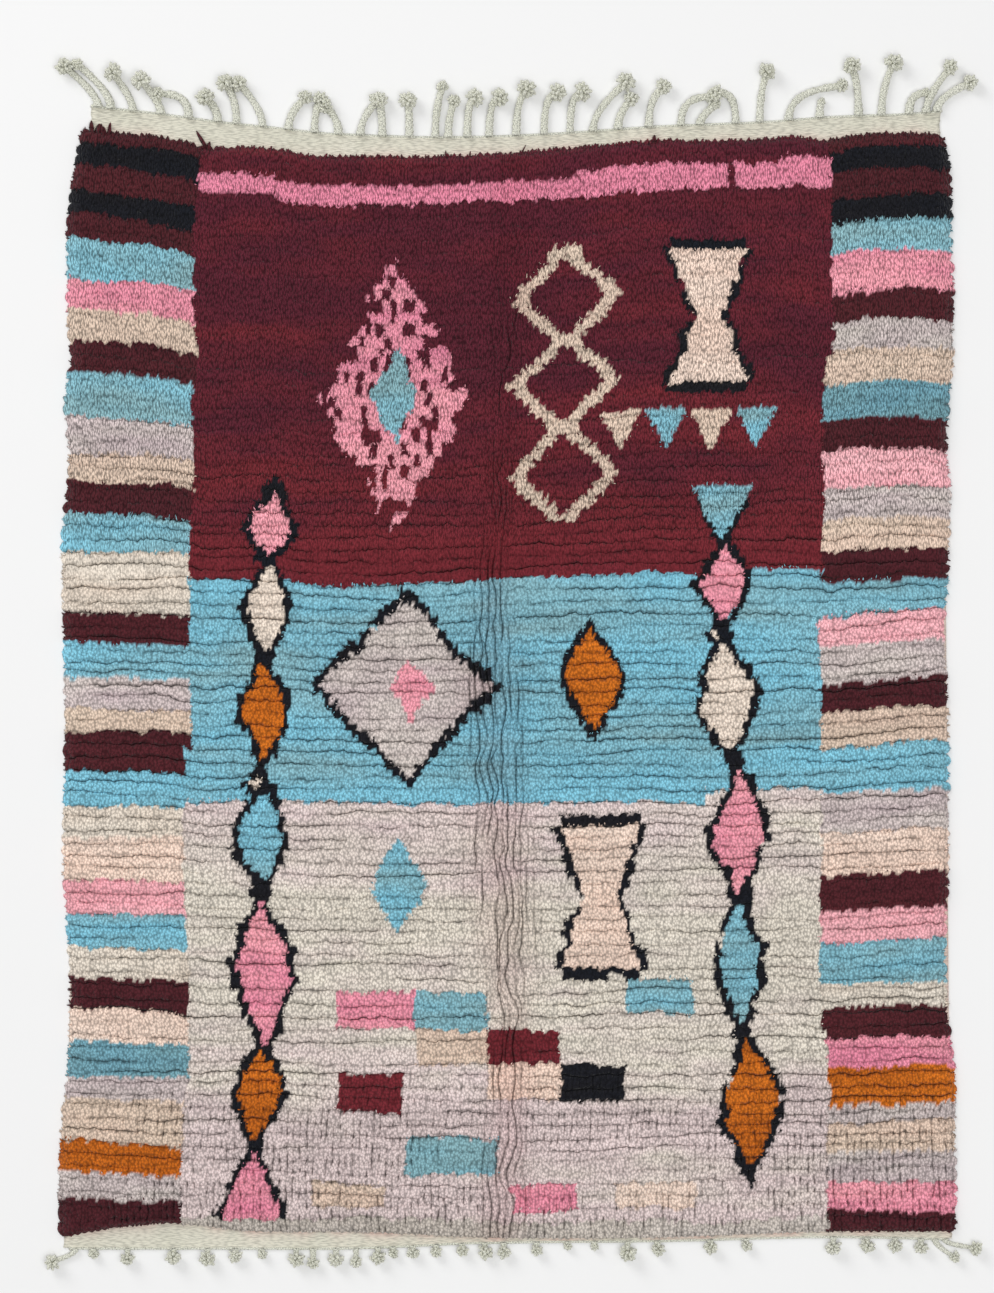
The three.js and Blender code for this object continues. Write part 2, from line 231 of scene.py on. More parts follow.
def tube_faces(count, rings, sides):
    """Faces of many alike closed tubes, each a pile of rings, with a flat cap at both ends."""
    per_tube = rings * sides
    quads = net_faces(rings, sides, wrap=True)
    starts = per_tube * np.arange(count)
    walls = (starts[:, None, None] + quads).reshape(-1, 4)
    near = starts[:, None] + np.arange(sides)[::-1]
    far = starts[:, None] + per_tube - sides + np.arange(sides)
    return walls.tolist() + near.tolist() + far.tolist()


# %% [markdown]
# ## Where the rug's edges run
# A hand-woven rug is never a rectangle. Its width and the lines of its ends are read from short
# tables, and a smooth curve goes through the rows of each table. The pile is then measured in
# knots from the left edge and rows from the lower end, as a weaver counts, and one function
# turns that count into a place on the floor.

# %% Edges of the rug
EDGE_COLUMNS = {"left": 1, "right": 2, "pile": 1, "heading": 2}
SIDE_EDGES = np.array([
    # y, left, right
    [-1150, -909, 888],
    [-1025, -909, 886],
    [-925, -903, 885],
    [-825, -892, 885],
    [-725, -889, 873],
    [-625, -887, 867],
    [-525, -893, 866],
    [-425, -899, 871],
    [-325, -899, 871],
    [-175, -897, 872],
    [-25, -897, 868],
    [75, -900, 864],
    [175, -902, 871],
    [275, -901, 874],
    [350, -892, 875],
    [425, -889, 869],
    [525, -897, 873],
    [600, -887, 880],
    [675, -891, 881],
    [750, -893, 882],
    [850, -893, 877],
    [925, -888, 878],
    [1000, -877, 874],
    [1065, -866, 860],
], float)
TOP_EDGES = np.array([
    # x, pile, heading
    [-880, 1068, 1118],
    [-808, 1058, 1109],
    [-716, 1050, 1099],
    [-650, 1037, 1090],
    [-614, 1026, 1085],
    [-564, 1029, 1079],
    [-468, 1024, 1069],
    [-410, 1013, 1062],
    [-346, 1011, 1057],
    [-142, 1010, 1051],
    [62, 1022, 1057],
    [294, 1042, 1073],
    [374, 1041, 1076],
    [494, 1044, 1081],
    [565, 1049, 1086],
    [625, 1042, 1091],
    [696, 1053, 1094],
    [800, 1057, 1098],
    [880, 1051, 1106],
], float)
BOTTOM_EDGES = np.array([
    # x, pile, heading
    [-910, -1150, -1173],
    [-788, -1129, -1173],
    [-690, -1121, -1173],
    [-532, -1137, -1173],
    [-346, -1139, -1173],
    [-224, -1142, -1169],
    [-102, -1149, -1163],
    [62, -1152, -1160],
    [294, -1150, -1158],
    [634, -1138, -1150],
    [900, -1138, -1155],
], float)


def edge(table, column, at):
    """Reads a column of an edge table along a smooth curve through its rows. The curve is a cubic
    between two rows, whose slopes are those of the lines between each row's neighbours."""
    keys, values = table[:, 0], table[:, EDGE_COLUMNS[column]]
    last = len(keys) - 1
    order = np.arange(last + 1)
    before, after = np.maximum(order - 1, 0), np.minimum(order + 1, last)
    slopes = (values[after] - values[before]) / (keys[after] - keys[before])
    right = np.clip(np.searchsorted(keys, at), 1, last)
    left = right - 1
    span = keys[right] - keys[left]
    t = np.clip((at - keys[left]) / span, 0, 1)
    square, cube = t * t, t * t * t
    ends = values[left] * (2 * cube - 3 * square + 1) + values[right] * (3 * square - 2 * cube)
    bends = slopes[left] * (cube - 2 * square + t) + slopes[right] * (cube - square)
    return ends + span * bends


def between(low, high, share):
    """The value at a share of the way from low to high."""
    return low + (high - low) * share


ROWS, KNOTS = 90, 135
SHIFT_KNOTS = [0, 16, 60, 119, 135]
ROW_SHIFTS = np.array([
    # row, then mm up from the even place at each of the knots above
    [0, 0, 0, 0, 0, 0],
    [2, 14, 4, 0, 0, 0],
    [6, 16, 4, 0, -4, 2],
    [10, 16, 4, 0, -8, 2],
    [13, 3, 3, 0, 0, 1],
    [17, 0, 0, 0, 0, 0],
    [20, 4, 8, 0, 2, 2],
    [22, 8, 10, 0, -4, 2],
    [25, 2, 4, 0, -2, 6],
    [28, -4, -6, -2, -2, 6],
    [31, -9, -5, -4, -4, 4],
    [36, -10, 0, -3, -10, -4],
    [40, -12, -4, 0, -6, 6],
    [43, -12, -4, 0, -8, 4],
    [46, -6, 0, 0, -8, 5],
    [50, -6, -6, 2, -2, 4],
    [54, -7, -2, 9, 6, 2],
    [57, -14, -2, 4, 2, -2],
    [60, -12, -2, 0, 2, 0],
    [63, -10, -4, 0, 0, 0],
    [66, -4, -4, 0, 0, 0],
    [69, -14, -16, 0, 0, 0],
    [72, -14, -15, 0, -4, -4],
    [75, -10, -8, 0, -7, -6],
    [78, -5, -4, 0, -3, -5],
    [81, -2, -4, 0, 0, -3],
    [84, -2, -6, -1, 3, 4],
    [87, 2, -5, -1, 4, 4],
    [90, 0, 0, 0, 0, 0],
], float)
SETTLING_PASSES = 3
RIM_INSET = 6.0
FIRST_ROW_Y = -1140.0
LOWER_BEND_FADE = 100


def row_shift(knot, row):
    """How far a row lies above its even place, blended from the table over rows and knots."""
    shift = np.interp(row, ROW_SHIFTS[:, 0], ROW_SHIFTS[:, 1])
    for number in range(1, len(SHIFT_KNOTS)):
        step = np.interp(row, ROW_SHIFTS[:, 0], ROW_SHIFTS[:, number + 1] - ROW_SHIFTS[:, number])
        shift = shift + step * ease(knot, SHIFT_KNOTS[number - 1], SHIFT_KNOTS[number])
    return shift


def pile_place(knot, row):
    """Place on the floor, in mm, of a count of knots and rows. The bends of the upper end fade
    evenly down the rug, and those of the lower end within a row, where the weaver packed the
    rows level again. Then each row is shifted to where the weaver's beating left it. Ends and
    sides depend on each other, so both are read until they agree."""
    across, along = knot / KNOTS, row / ROWS
    shift = row_shift(knot, row)
    x = between(SIDE_EDGES[0, 1], SIDE_EDGES[0, 2], across)
    for _ in range(SETTLING_PASSES):
        y = between(FIRST_ROW_Y, edge(TOP_EDGES, "pile", x), along)
        y = y + (edge(BOTTOM_EDGES, "pile", x) - FIRST_ROW_Y) * (1 - along) ** LOWER_BEND_FADE + shift
        left, right = edge(SIDE_EDGES, "left", y) + RIM_INSET, edge(SIDE_EDGES, "right", y) - RIM_INSET
        x = between(left, right, across)
    return x, y


KNOT_PITCH = float(edge(SIDE_EDGES, "right", 0.0) - edge(SIDE_EDGES, "left", 0.0)) / KNOTS
ROW_PITCH = float(pile_place(KNOTS / 2, ROWS)[1] - pile_place(KNOTS / 2, 0)[1]) / ROWS
print(f"one knot is {KNOT_PITCH:.1f} mm across, one row {ROW_PITCH:.1f} mm along")

# %% [markdown]
# ## The wools
# The yarns were dyed by hand in small lots, so each colour is really a range. Every wool is given
# as the colour of its main lot and the colour it drifts to. The values are the colours that the
# eye sees, from 0 to 255, and are turned into the linear values that light works in.

# %% Wools and their colours
WOOLS = {
    "burgundy": {"main": (117, 40, 48), "drifts_to": (90, 32, 46)},
    "maroon": {"main": (84, 34, 40), "drifts_to": (76, 31, 38)},
    "black": {"main": (25, 24, 29), "drifts_to": (20, 24, 33)},
    "blue": {"main": (133, 201, 223), "drifts_to": (142, 184, 192)},
    "dark blue": {"main": (118, 168, 184), "drifts_to": (128, 166, 168)},
    "pink": {"main": (238, 142, 168), "drifts_to": (250, 168, 180)},
    "salmon": {"main": (250, 174, 184), "drifts_to": (255, 194, 200)},
    "cream": {"main": (226, 204, 184), "drifts_to": (233, 205, 186)},
    "ivory": {"main": (248, 232, 216), "drifts_to": (244, 226, 210)},
    "natural": {"main": (231, 222, 208), "drifts_to": (228, 209, 207)},
    "lavender": {"main": (220, 209, 202), "drifts_to": (204, 186, 188)},
    "beige": {"main": (232, 222, 208), "drifts_to": (234, 217, 200)},
    "peach": {"main": (246, 222, 206), "drifts_to": (248, 218, 200)},
    "orange": {"main": (220, 120, 34), "drifts_to": (198, 104, 28)},
    "taupe": {"main": (222, 212, 206), "drifts_to": (206, 196, 186)},
}
# how far each lot has drifted on the way up: rows and shares
DRIFT_ON_THE_WAY = {
    "burgundy": ([54, 60, 72, 84], [-0.5, -0.3, 0.3, 0.45]),
    "natural": ([0, 10, 16, 26, 33, 36], [0.5, 0.35, -0.3, -0.35, -0.15, 0.1]),
    "blue": ([0, 14, 20, 36, 54, 62, 90], [0.5, 0.4, 0.2, -0.3, -0.2, 0.35, 0.4]),
    "pink": ([0, 16, 24, 30, 60, 76, 85, 90], [0, -0.2, 0.3, 0.3, 0.3, 0.1, -0.4, -0.45]),
    "orange": ([0, 8, 11, 40], [0.6, 0.6, 0, 0]),
}
WOOL_NAMES = list(WOOLS)


def linear(colour):
    """Turns colours as the eye sees them, 0 to 255, into linear light, 0 to 1."""
    seen = np.asarray(colour, float) / 255
    return np.where(seen <= 0.04045, seen / 12.92, ((seen + 0.055) / 1.055) ** 2.4)


MAIN_COLOURS = linear([WOOLS[name]["main"] for name in WOOL_NAMES])
DRIFT_COLOURS = linear([WOOLS[name]["drifts_to"] for name in WOOL_NAMES])

# %% [markdown]
# ## The weaver's chart
# A knotted rug can be written down as a chart with one cell for each knot. Here the chart is filled
# in the order of a weaver's thinking: the three grounds of the field, the striped borders counted
# in rows from the lower end, then the motifs. Motifs are plain rules on knots and rows, such as
# a lozenge where the steps across and the steps along add up to less than one.

# %% Chart helpers
CELLS = 2
UNEVEN = {"swell": 0.16, "sway": 0.5}
OUTLINE = {"thick_from": 0.25, "broken_below": -0.72}
CHART = np.zeros((ROWS * CELLS, KNOTS * CELLS), int)
ROW_AT, KNOT_AT = (np.mgrid[0:ROWS * CELLS, 0:KNOTS * CELLS] + 0.5) / CELLS


def fill(where, wool):
    """Ties the cells of a mask in one wool."""
    CHART[where] = WOOL_NAMES.index(wool)


def outline(where):
    """The cells up to one knot beside a shape or one row above or below it, for its outline. In
    some rows it is half a knot thicker, and here and there it is broken."""
    height, width = where.shape
    reach = CELLS + 1
    wide = np.pad(where, reach)
    uneven = drift(ROW_AT, KNOT_AT, 1, 6, 73)
    grown = np.zeros_like(where)
    for step in range(-CELLS, CELLS + 1):
        grown |= wide[reach + step:reach + step + height, reach:reach + width]
        grown |= wide[reach:reach + height, reach + step:reach + step + width]
    for step in (-reach, reach):
        beyond = wide[reach:reach + height, reach + step:reach + step + width]
        grown |= beyond & (uneven > OUTLINE["thick_from"])
    return grown & ~where & (uneven > OUTLINE["broken_below"])


def lozenge(wool, middle, low, high, half, dark=True, roundness=1.0):
    """A stepped lozenge. Its half width falls from the middle row to both tips as one minus a
    power of the share of the way, so a power over one gives it rounded sides. The weaver's count is
    never quite even, so the width swells and the middle sways a little from row to row."""
    centre, reach = (low + high) / 2, (high - low) / 2
    away = np.clip(np.abs(ROW_AT - centre) / reach, 0, 1)
    swell = 1 + UNEVEN["swell"] * drift(ROW_AT, 0 * ROW_AT + middle, 1.7, 50, 71)
    sway = UNEVEN["sway"] * drift(ROW_AT, 0 * ROW_AT + middle, 1.3, 50, 72)
    shape = np.abs(KNOT_AT - middle - sway) < half * (1 - away ** roundness) * swell
    if dark:
        fill(outline(shape), "black")
    fill(shape, wool)
    return shape


def patch(wool, knot, width, row, height):
    """A plain block of knots."""
    fill(
        (KNOT_AT > knot) & (KNOT_AT < knot + width) & (ROW_AT > row) & (ROW_AT < row + height),
        wool,
    )


# %% Grounds and striped borders
FIELD_LEFT = {"low": 18, "high": 19, "step_row": 40}
FIELD_RIGHT = {"low": 116, "high": 117, "step_row": 72}
BLUE_GROUND = {"first": 36, "last": 54, "late_knot": 98, "late_first": 1, "late_last": 0.5}
PINK_BAND = [
    # first knot, last knot, first row, last row
    (18, 31, 86.5, 88),
    (31, 78, 86, 87.5),
    (78, 101, 86, 88),
    (102, 109, 86, 88),
    (109, 118, 86, 88.5),
]
LEFT_STRIPES = [
    # wool and rows, counted from the lower end; a stripe may start in the middle of a row's height
    ("maroon", 2.5), ("lavender", 2), ("orange", 2.5), ("cream", 3.5), ("lavender", 2),
    ("dark blue", 3), ("peach", 2.5), ("maroon", 2.5), ("beige", 2.5), ("blue", 3), ("salmon", 3),
    ("peach", 3.5), ("beige", 2.5), ("blue", 3), ("maroon", 3), ("cream", 2), ("lavender", 2.5),
    ("blue", 3), ("maroon", 2.5),
    ("beige", 5), ("blue", 3), ("maroon", 2.5), ("cream", 2.5), ("lavender", 3), ("blue", 3.5),
    ("maroon", 2.5), ("cream", 2.5), ("pink", 2.5), ("blue", 3), ("maroon", 2), ("black", 2),
    ("maroon", 2), ("black", 2), ("maroon", 1),
]
RIGHT_STRIPES = [
    ("maroon", 1.5), ("pink", 2.5), ("lavender", 2.5), ("cream", 2.5), ("lavender", 1.5),
    ("orange", 3), ("pink", 2.5), ("maroon", 2.5), ("beige", 2), ("blue", 3.5), ("salmon", 2.5),
    ("maroon", 3), ("peach", 3.5), ("lavender", 3.5), ("blue", 3.5), ("cream", 3), ("maroon", 2.5),
    ("lavender", 3), ("salmon", 2.5), ("blue", 2.5), ("maroon", 2.5), ("cream", 2.5),
    ("lavender", 2.5), ("salmon", 3), ("maroon", 2.5), ("dark blue", 3), ("cream", 3),
    ("lavender", 2.5), ("maroon", 2.5), ("pink", 3), ("blue", 2.5), ("black", 2), ("maroon", 2),
    ("black", 2), ("maroon", 1),
]


def border_stripes(stripes, where):
    """Lays stripes of counted rows from the lower end over the knots of a mask."""
    row = 0
    for wool, rows in stripes:
        fill(where & (ROW_AT > row) & (ROW_AT < row + rows), wool)
        row += rows
    print("border rows counted:", row)


fill(ROW_AT > 0, "natural")
late = KNOT_AT > BLUE_GROUND["late_knot"]
fill(ROW_AT > BLUE_GROUND["first"] + BLUE_GROUND["late_first"] * late, "blue")
fill(ROW_AT > BLUE_GROUND["last"] + BLUE_GROUND["late_last"] * late, "burgundy")
for first_knot, last_knot, first_row, last_row in PINK_BAND:
    patch("pink", first_knot, last_knot - first_knot, first_row, last_row - first_row)
left_edge = np.where(ROW_AT > FIELD_LEFT["step_row"], FIELD_LEFT["high"], FIELD_LEFT["low"])
right_edge = np.where(ROW_AT > FIELD_RIGHT["step_row"], FIELD_RIGHT["high"], FIELD_RIGHT["low"])
border_stripes(LEFT_STRIPES, KNOT_AT < left_edge)
border_stripes(RIGHT_STRIPES, KNOT_AT > right_edge)

# %% Chains of lozenges
CHAIN_LINKS = [
    # middle knot, lowest row, highest row, half width in knots of the dark knots between lozenges
    (31.3, 60.3, 63.1, 2.5),
    (31.0, 54.4, 57.0, 1.9),
    (30.6, 46.6, 49.2, 1.6),
    (29.6, 36.4, 40.0, 1.7),
    (30.0, 26.8, 30.4, 2.0),
    (29.8, 14.2, 16.4, 1.5),
    (29.2, 5.9, 8.3, 1.8),
    (101.0, 47.5, 51.2, 1.9),
    (102.3, 37.6, 41.0, 1.8),
    (103.6, 25.4, 30.6, 2.4),
    (103.6, 15.0, 18.4, 1.7),
    (104.2, 3.7, 6.6, 1.6),
]
LEFT_CHAIN = [
    # wool, middle knot, lowest row, highest row, half width in knots
    ("pink", 31.4, 56, 61.5, 3.3),
    ("ivory", 31, 48.3, 55.2, 3.1),
    ("orange", 30.1, 39.3, 47.2, 2.9),
    ("ivory", 29.6, 36.3, 37.9, 1.5),
    ("blue", 29.8, 29.2, 36.7, 3.5),
    ("pink", 29.7, 15.4, 27.5, 3.8),
    ("orange", 29.1, 7.4, 15.1, 3.2),
    ("pink", 28.9, -4.5, 6.8, 4.3),
]
RIGHT_CHAIN = [
    ("pink", 101.2, 50.2, 56.5, 3.0),
    ("ivory", 100.9, 48.7, 49.7, 1.1),
    ("ivory", 101.6, 39.8, 48.7, 4.0),
    ("pink", 103.1, 27.9, 38.6, 3.4),
    ("blue", 103.6, 17.2, 27.4, 2.8),
    ("orange", 104.2, 5.2, 15.9, 3.9),
]
CHAIN_ROUNDNESS = 1.45

for link_middle, link_low, link_high, link_half in CHAIN_LINKS:
    lozenge("black", link_middle, link_low, link_high, link_half, dark=False)
for chain_wool, chain_middle, chain_low, chain_high, chain_half in LEFT_CHAIN + RIGHT_CHAIN:
    lozenge(chain_wool, chain_middle, chain_low, chain_high, chain_half, roundness=CHAIN_ROUNDNESS)
fill((ROW_AT < 1) & (KNOT_AT > left_edge) & (KNOT_AT < right_edge), "taupe")


def wedge(wool, middle, low, high, half):
    """A wedge that stands on its point: the half width grows with the rows."""
    rise = (ROW_AT - low) / (high - low)
    fill((rise > 0) & (rise < 1) & (np.abs(KNOT_AT - middle) < half * rise), wool)


wedge("black", 100.6, 55.8, 60.3, 4.2)
wedge("blue", 100.6, 56.8, 61.4, 4.7)

# %% [markdown]
# ## Motifs of the field
# The field holds the plain shapes that country weavers share: a speckled lozenge with a heart,
# a zigzag for water, an hourglass, a row of small wedges, stepped lozenges in a dark outline and
# a stair of small blocks. Speckling is done as on the loom, by changing the wool on single knots.

# %% Motif helpers and motifs
SPECKLE_SEED, SPECKLE_SHARE = 41, 0.68


def hourglass(wool, middle, low, high, half, waist):
    """Two wedges tip to tip in a dark outline: the half width grows away from the middle row."""
    centre, reach = (low + high) / 2, (high - low) / 2
    away = np.abs(ROW_AT - centre) / reach
    shape = (away < 1) & (np.abs(KNOT_AT - middle) < waist + (half - waist) * away)
    fill(outline(shape), "black")
    fill(shape, wool)


def zigzag(wool, middle, low, high, swing, period, thick):
    """A line that swings from side to side by a straight rule, row by row."""
    phase = (ROW_AT - low) / period % 1
    line = middle + swing * (4 * np.abs(phase - 0.5) - 1)
    fill((ROW_AT > low) & (ROW_AT < high) & (np.abs(KNOT_AT - line) < thick / 2), wool)


speckled = lozenge("burgundy", 50, 58, 82, 12, dark=False)
tied = scatter((ROWS, KNOTS), 0, 1, SPECKLE_SEED) < SPECKLE_SHARE
fill(speckled & tied.repeat(CELLS, axis=0).repeat(CELLS, axis=1), "pink")
lozenge("blue", 50, 66, 74, 4, dark=False)
zigzag("cream", 72, 59, 82, 3.4, 7.5, 2.4)
zigzag("cream", 80, 59, 82, -3.4, 7.5, 2.4)
hourglass("peach", 98, 70, 81, 6, 2)
for wedge_middle, wedge_wool in ((85, "cream"), (92, "blue"), (99, "cream"), (106, "blue")):
    wedge(wedge_wool, wedge_middle, 64.5, 67.5, 3.2)
lozenge("lavender", 52, 38, 53, 13)
lozenge("pink", 53, 43, 48, 3.6, dark=False)
lozenge("orange", 81, 42, 50, 4.6)
hourglass("peach", 82, 22, 34, 6, 2.5)
lozenge("blue", 51, 25, 33, 5, dark=False)
BLOCKS = [
    # wool, first knot, knots, first row, rows
    ("pink", 41, 12, 17, 3),
    ("blue", 53, 11, 17, 3),
    ("cream", 53, 11, 14, 3),
    ("burgundy", 64, 11, 14, 3),
    ("peach", 64, 11, 11, 3),
    ("black", 75, 10, 11, 3),
    ("blue", 86, 10, 18, 3),
    ("burgundy", 41, 10, 10, 3),
    ("blue", 52, 14, 5, 3),
    ("cream", 38, 11, 2, 2),
    ("peach", 84, 12, 2, 2),
    ("pink", 68, 10, 2, 2),
]
for block in BLOCKS:
    patch(*block)
print("knots tied of each wool:", dict(zip(WOOL_NAMES, np.bincount(CHART.ravel()).tolist())))

# %% [markdown]
# ## The pile
# The wool of one knot stands as a small tuft, and a row of tufts looks like a soft roll. Between two
# rolls lies a furrow that wanders with the weaver's hand, is deep in some places and has closed in
# others. Between two knots there is a smaller gap, which opens along the old lengthwise fold.
# Loose tufts as thousands of strands would be too heavy, so the pile is one surface whose net
# follows the furrows: each row has a few lines of points, crowded at the furrow, and each knot a
# few columns. The furrows can then be narrow and dark without a fine net everywhere.

# %% The net of the pile
ROW_STOPS = np.array([0, 0.07, 0.22, 0.46, 0.7, 0.92])
KNOT_STOPS = np.array([0, 0.2, 0.5, 0.8])


def stops(count, shares):
    """Every whole step up to a count, with the given shares of each step, and the last one."""
    return np.append((np.arange(count)[:, None] + shares).ravel(), count)


LINE_ROW = stops(ROWS, ROW_STOPS)
COLUMN_KNOT = stops(KNOTS, KNOT_STOPS)
V, U = np.meshgrid(LINE_ROW, COLUMN_KNOT, indexing="ij")
IN_ROW = V % 1
IN_KNOT = U % 1
LOW_ROW, LOW_KNOT = np.floor(V), np.floor(U)
print("pile net:", V.shape, "lines and columns")

# %% Where the wool is brushed, creased and matted
CREASE = {"x": -28, "width": 45, "height": 4, "sway": 12, "sway_pitch": 260}
CREASE_KNOTS_WIDE = {"usual": 3.5, "uneven": 1.2}
CREASE_KNOT = float(CREASE["x"] - edge(SIDE_EDGES, "left", 0.0)) / KNOT_PITCH
LUMPS = [
    {"rise": 1.3, "across": 83, "along": 131, "start": 0},
    {"rise": 1.0, "across": 47, "along": -71, "start": 2},
]


def brushed(v):
    """1 in the upper rows, whose tufts are brushed open and upwards, and 0 below them."""
    return ease(v, *BRUSHED_ROWS)


def creased(u, v):
    """1 on the old lengthwise fold, fading to 0 within a few knots, with an uneven edge."""
    middle = CREASE_KNOT + CREASE["sway"] / KNOT_PITCH * np.sin(v * ROW_PITCH / CREASE["sway_pitch"])
    wide = CREASE_KNOTS_WIDE["usual"] + CREASE_KNOTS_WIDE["uneven"] * drift(u * 0, v, 1, 9, 301)
    return np.exp(-(((u - middle) / wide) ** 2))


def pile_height(x, y):
    """Height of the uncut top of the pile over the floor: two sets of slow lumps and the ridge
    of the fold, which is a bell curve across the rug and sways along it."""
    first, second = (
        lump["rise"] * np.sin(x / lump["across"] + y / lump["along"] + lump["start"]) for lump in LUMPS
    )
    middle = CREASE["x"] + CREASE["sway"] * np.sin(y / CREASE["sway_pitch"])
    ridge = CREASE["height"] * np.exp(-(((x - middle) / CREASE["width"]) ** 2))
    return PILE_TOP + first + second + ridge


# %% How far the furrows wander and how deep they are
# depth, roll and pillow are in mm, a width is a share of a row or of a knot, the rest are strengths
FURROW = {
    "depth": 9.0, "width": 0.055, "most": 1.35, "closed_by_fold": 0.75, "roll": 1.9,
    "by_row": 0.35, "slowly": 0.55, "quickly": 0.5, "changes": 1.15,
}
GAP = {
    "depth": 7.0, "width": 0.13, "most": 1.2, "pillow": 0.3, "usual": 0.03, "uneven": 0.12,
    "crack": 1.35, "crack_uneven": 1.2, "crack_if_brushed": 0.4, "crack_near_end": 0.3,
    "dash": 0.5, "dash_uneven": 1.2, "dash_in_row": 0.55, "dash_at_furrow": 1.7,
}
NEAR_END_ROWS = (74, 84)
MATTED_ROWS = {"all": 6, "none": 17}
MATTED_FROM = (-1.1, 0.1)
ROW_STRENGTH_AT = [0, 5, 9, 12, 20, 34, 38, 54, 60, 70, 90]
ROW_STRENGTH = [0.24, 0.34, 0.6, 0.55, 0.54, 0.58, 0.64, 0.62, 0.42, 0.18, 0.1]


def furrow_strength(u, row):
    """How open the furrow under a row is, from 0 to about 1.3: a usual strength for that part of
    the rug, one for each row, and slow and quick changes along the row."""
    usual = np.interp(row, ROW_STRENGTH_AT, ROW_STRENGTH)
    changes = FURROW["by_row"] * drift(u * 0, row, 1, 1, 103)
    changes = changes + FURROW["slowly"] * drift(u, row, 14, 1, 101)
    changes = changes + FURROW["quickly"] * drift(u, row, 2.6, 1, 102)
    closed = 1 - FURROW["closed_by_fold"] * creased(u, row)
    return np.clip(usual * closed * (1 + FURROW["changes"] * changes), 0, FURROW["most"])


def knot_gap_strength(knot, v):
    """How open the gap before a knot is: a little everywhere, long cracks along the fold and
    short dashes between the matted knots near the lower end, deepest beside the furrows."""
    everywhere = GAP["usual"] + GAP["uneven"] * drift(knot, v, 1, 1.1, 111)
    crack = creased(knot, v) * (GAP["crack"] + GAP["crack_uneven"] * drift(knot, v, 1, 3.2, 112))
    crack = crack * between(1, GAP["crack_if_brushed"], brushed(v))
    crack = crack * between(1, GAP["crack_near_end"], ease(v, *NEAR_END_ROWS))
    matted = ease(-v, -MATTED_ROWS["none"], -MATTED_ROWS["all"])
    matted = matted * ease(drift(knot, v, 20, 6, 113), *MATTED_FROM)
    dashes = matted * (GAP["dash"] + GAP["dash_uneven"] * drift(knot, v, 1, 0.4, 114))
    dashes = dashes * between(GAP["dash_in_row"], GAP["dash_at_furrow"], (2 * (v % 1) - 1) ** 2)
    return np.clip(np.maximum.reduce([everywhere, crack, dashes]), 0, GAP["most"])


def trench(share, width):
    """Depth of a trench at a share of the way from its middle line: 1 on it, falling off fast."""
    return np.exp(-((share / width) ** 1.4))


# sways in rows and knots; a tip's push grows from the first to the second value as wool is brushed
SWAY = {"slow": 0.3, "row": 0.17, "knots": 0.12, "tuft": 0.1, "gap": 0.18, "fold": 0.8, "split": 0.4}
TIP_PUSH = (0.10, 0.24)


def wander():
    """Side steps of the net in knots and rows. Furrows sway slowly and each tuft's tip pushes the
    furrow above it up a little, more where the wool is brushed. Gaps sway with each row, and
    more along the fold, where they split and meet."""
    slow = SWAY["slow"] * drift(U, V, 24, 6, 127) + SWAY["row"] * drift(U, V, 10, 1, 121)
    slow = slow + SWAY["knots"] * drift(U, V, 2.8, 1, 122) + SWAY["tuft"] * drift(U, V, 0.9, 1, 126)
    tip = 1 - np.abs(2 * IN_KNOT - 1)
    reach = between(*TIP_PUSH, brushed(V))
    push = [
        reach * tip * (0.5 + 0.5 * drift(LOW_KNOT, row, 1, 1, 123)) for row in (LOW_ROW, LOW_ROW + 1)
    ]
    rows = slow + push[0] * (1 - IN_ROW) + push[1] * IN_ROW
    along_fold = SWAY["fold"] * drift(U, V, 4, 2.6, 125) + SWAY["split"] * drift(U, V, 1, 1.8, 128)
    knots = SWAY["gap"] * drift(U, V, 1, 0.9, 124) + creased(U, V) * along_fold
    inside_rows = np.clip(np.minimum(V, ROWS - V), 0, 1)
    inside_knots = np.clip(np.minimum(U, KNOTS - U), 0, 1)
    return knots * inside_knots, rows * inside_rows


# %% Shape of the pile's top
SHOULDER_DROP = 0.45
SHOULDER_REACH = 9.0
GRAIN = {"rough": 0.85, "brushed": 0.6}
TUFT_UNEVEN = 0.9
LOWEST_TOP = 5.5


def shoulder(distance):
    """Share of the height near a rim: it falls smoothly to the shoulder as the rim comes near."""
    return 1 - SHOULDER_DROP * np.exp(-((np.maximum(distance, 0) / SHOULDER_REACH) ** 1.3))


step_knots, step_rows = wander()
TOP_X, TOP_Y = pile_place(U + step_knots, V + step_rows)
row_trench = furrow_strength(U, LOW_ROW) * trench(IN_ROW, FURROW["width"])
row_trench = row_trench + furrow_strength(U, LOW_ROW + 1) * trench(1 - IN_ROW, FURROW["width"])
gap_trench = knot_gap_strength(LOW_KNOT, V) * trench(IN_KNOT, GAP["width"])
gap_trench = gap_trench + knot_gap_strength(LOW_KNOT + 1, V) * trench(1 - IN_KNOT, GAP["width"])
roll = FURROW["roll"] * (2 * IN_ROW - 1) ** 2 * furrow_strength(U, LOW_ROW + 0.5)
pillow = GAP["pillow"] * (2 * IN_KNOT - 1) ** 2
tuft_heights = TUFT_UNEVEN * drift(U, V, 1, 1, 131)
grain_size = between(GRAIN["rough"], GRAIN["brushed"], brushed(V))
grain = grain_size * np.random.default_rng(132).normal(0, 1, V.shape)
SUNK = np.maximum(FURROW["depth"] * row_trench, GAP["depth"] * gap_trench)
rim_distance = np.minimum(
    KNOT_PITCH * np.minimum(U, KNOTS - U),
    ROW_PITCH * np.minimum(V, ROWS - V),
)
TOP_Z = pile_height(TOP_X, TOP_Y) * shoulder(rim_distance)
TOP_Z = TOP_Z + tuft_heights + grain - roll - pillow - SUNK * shoulder(rim_distance)
TOP_Z = np.maximum(TOP_Z, LOWEST_TOP)
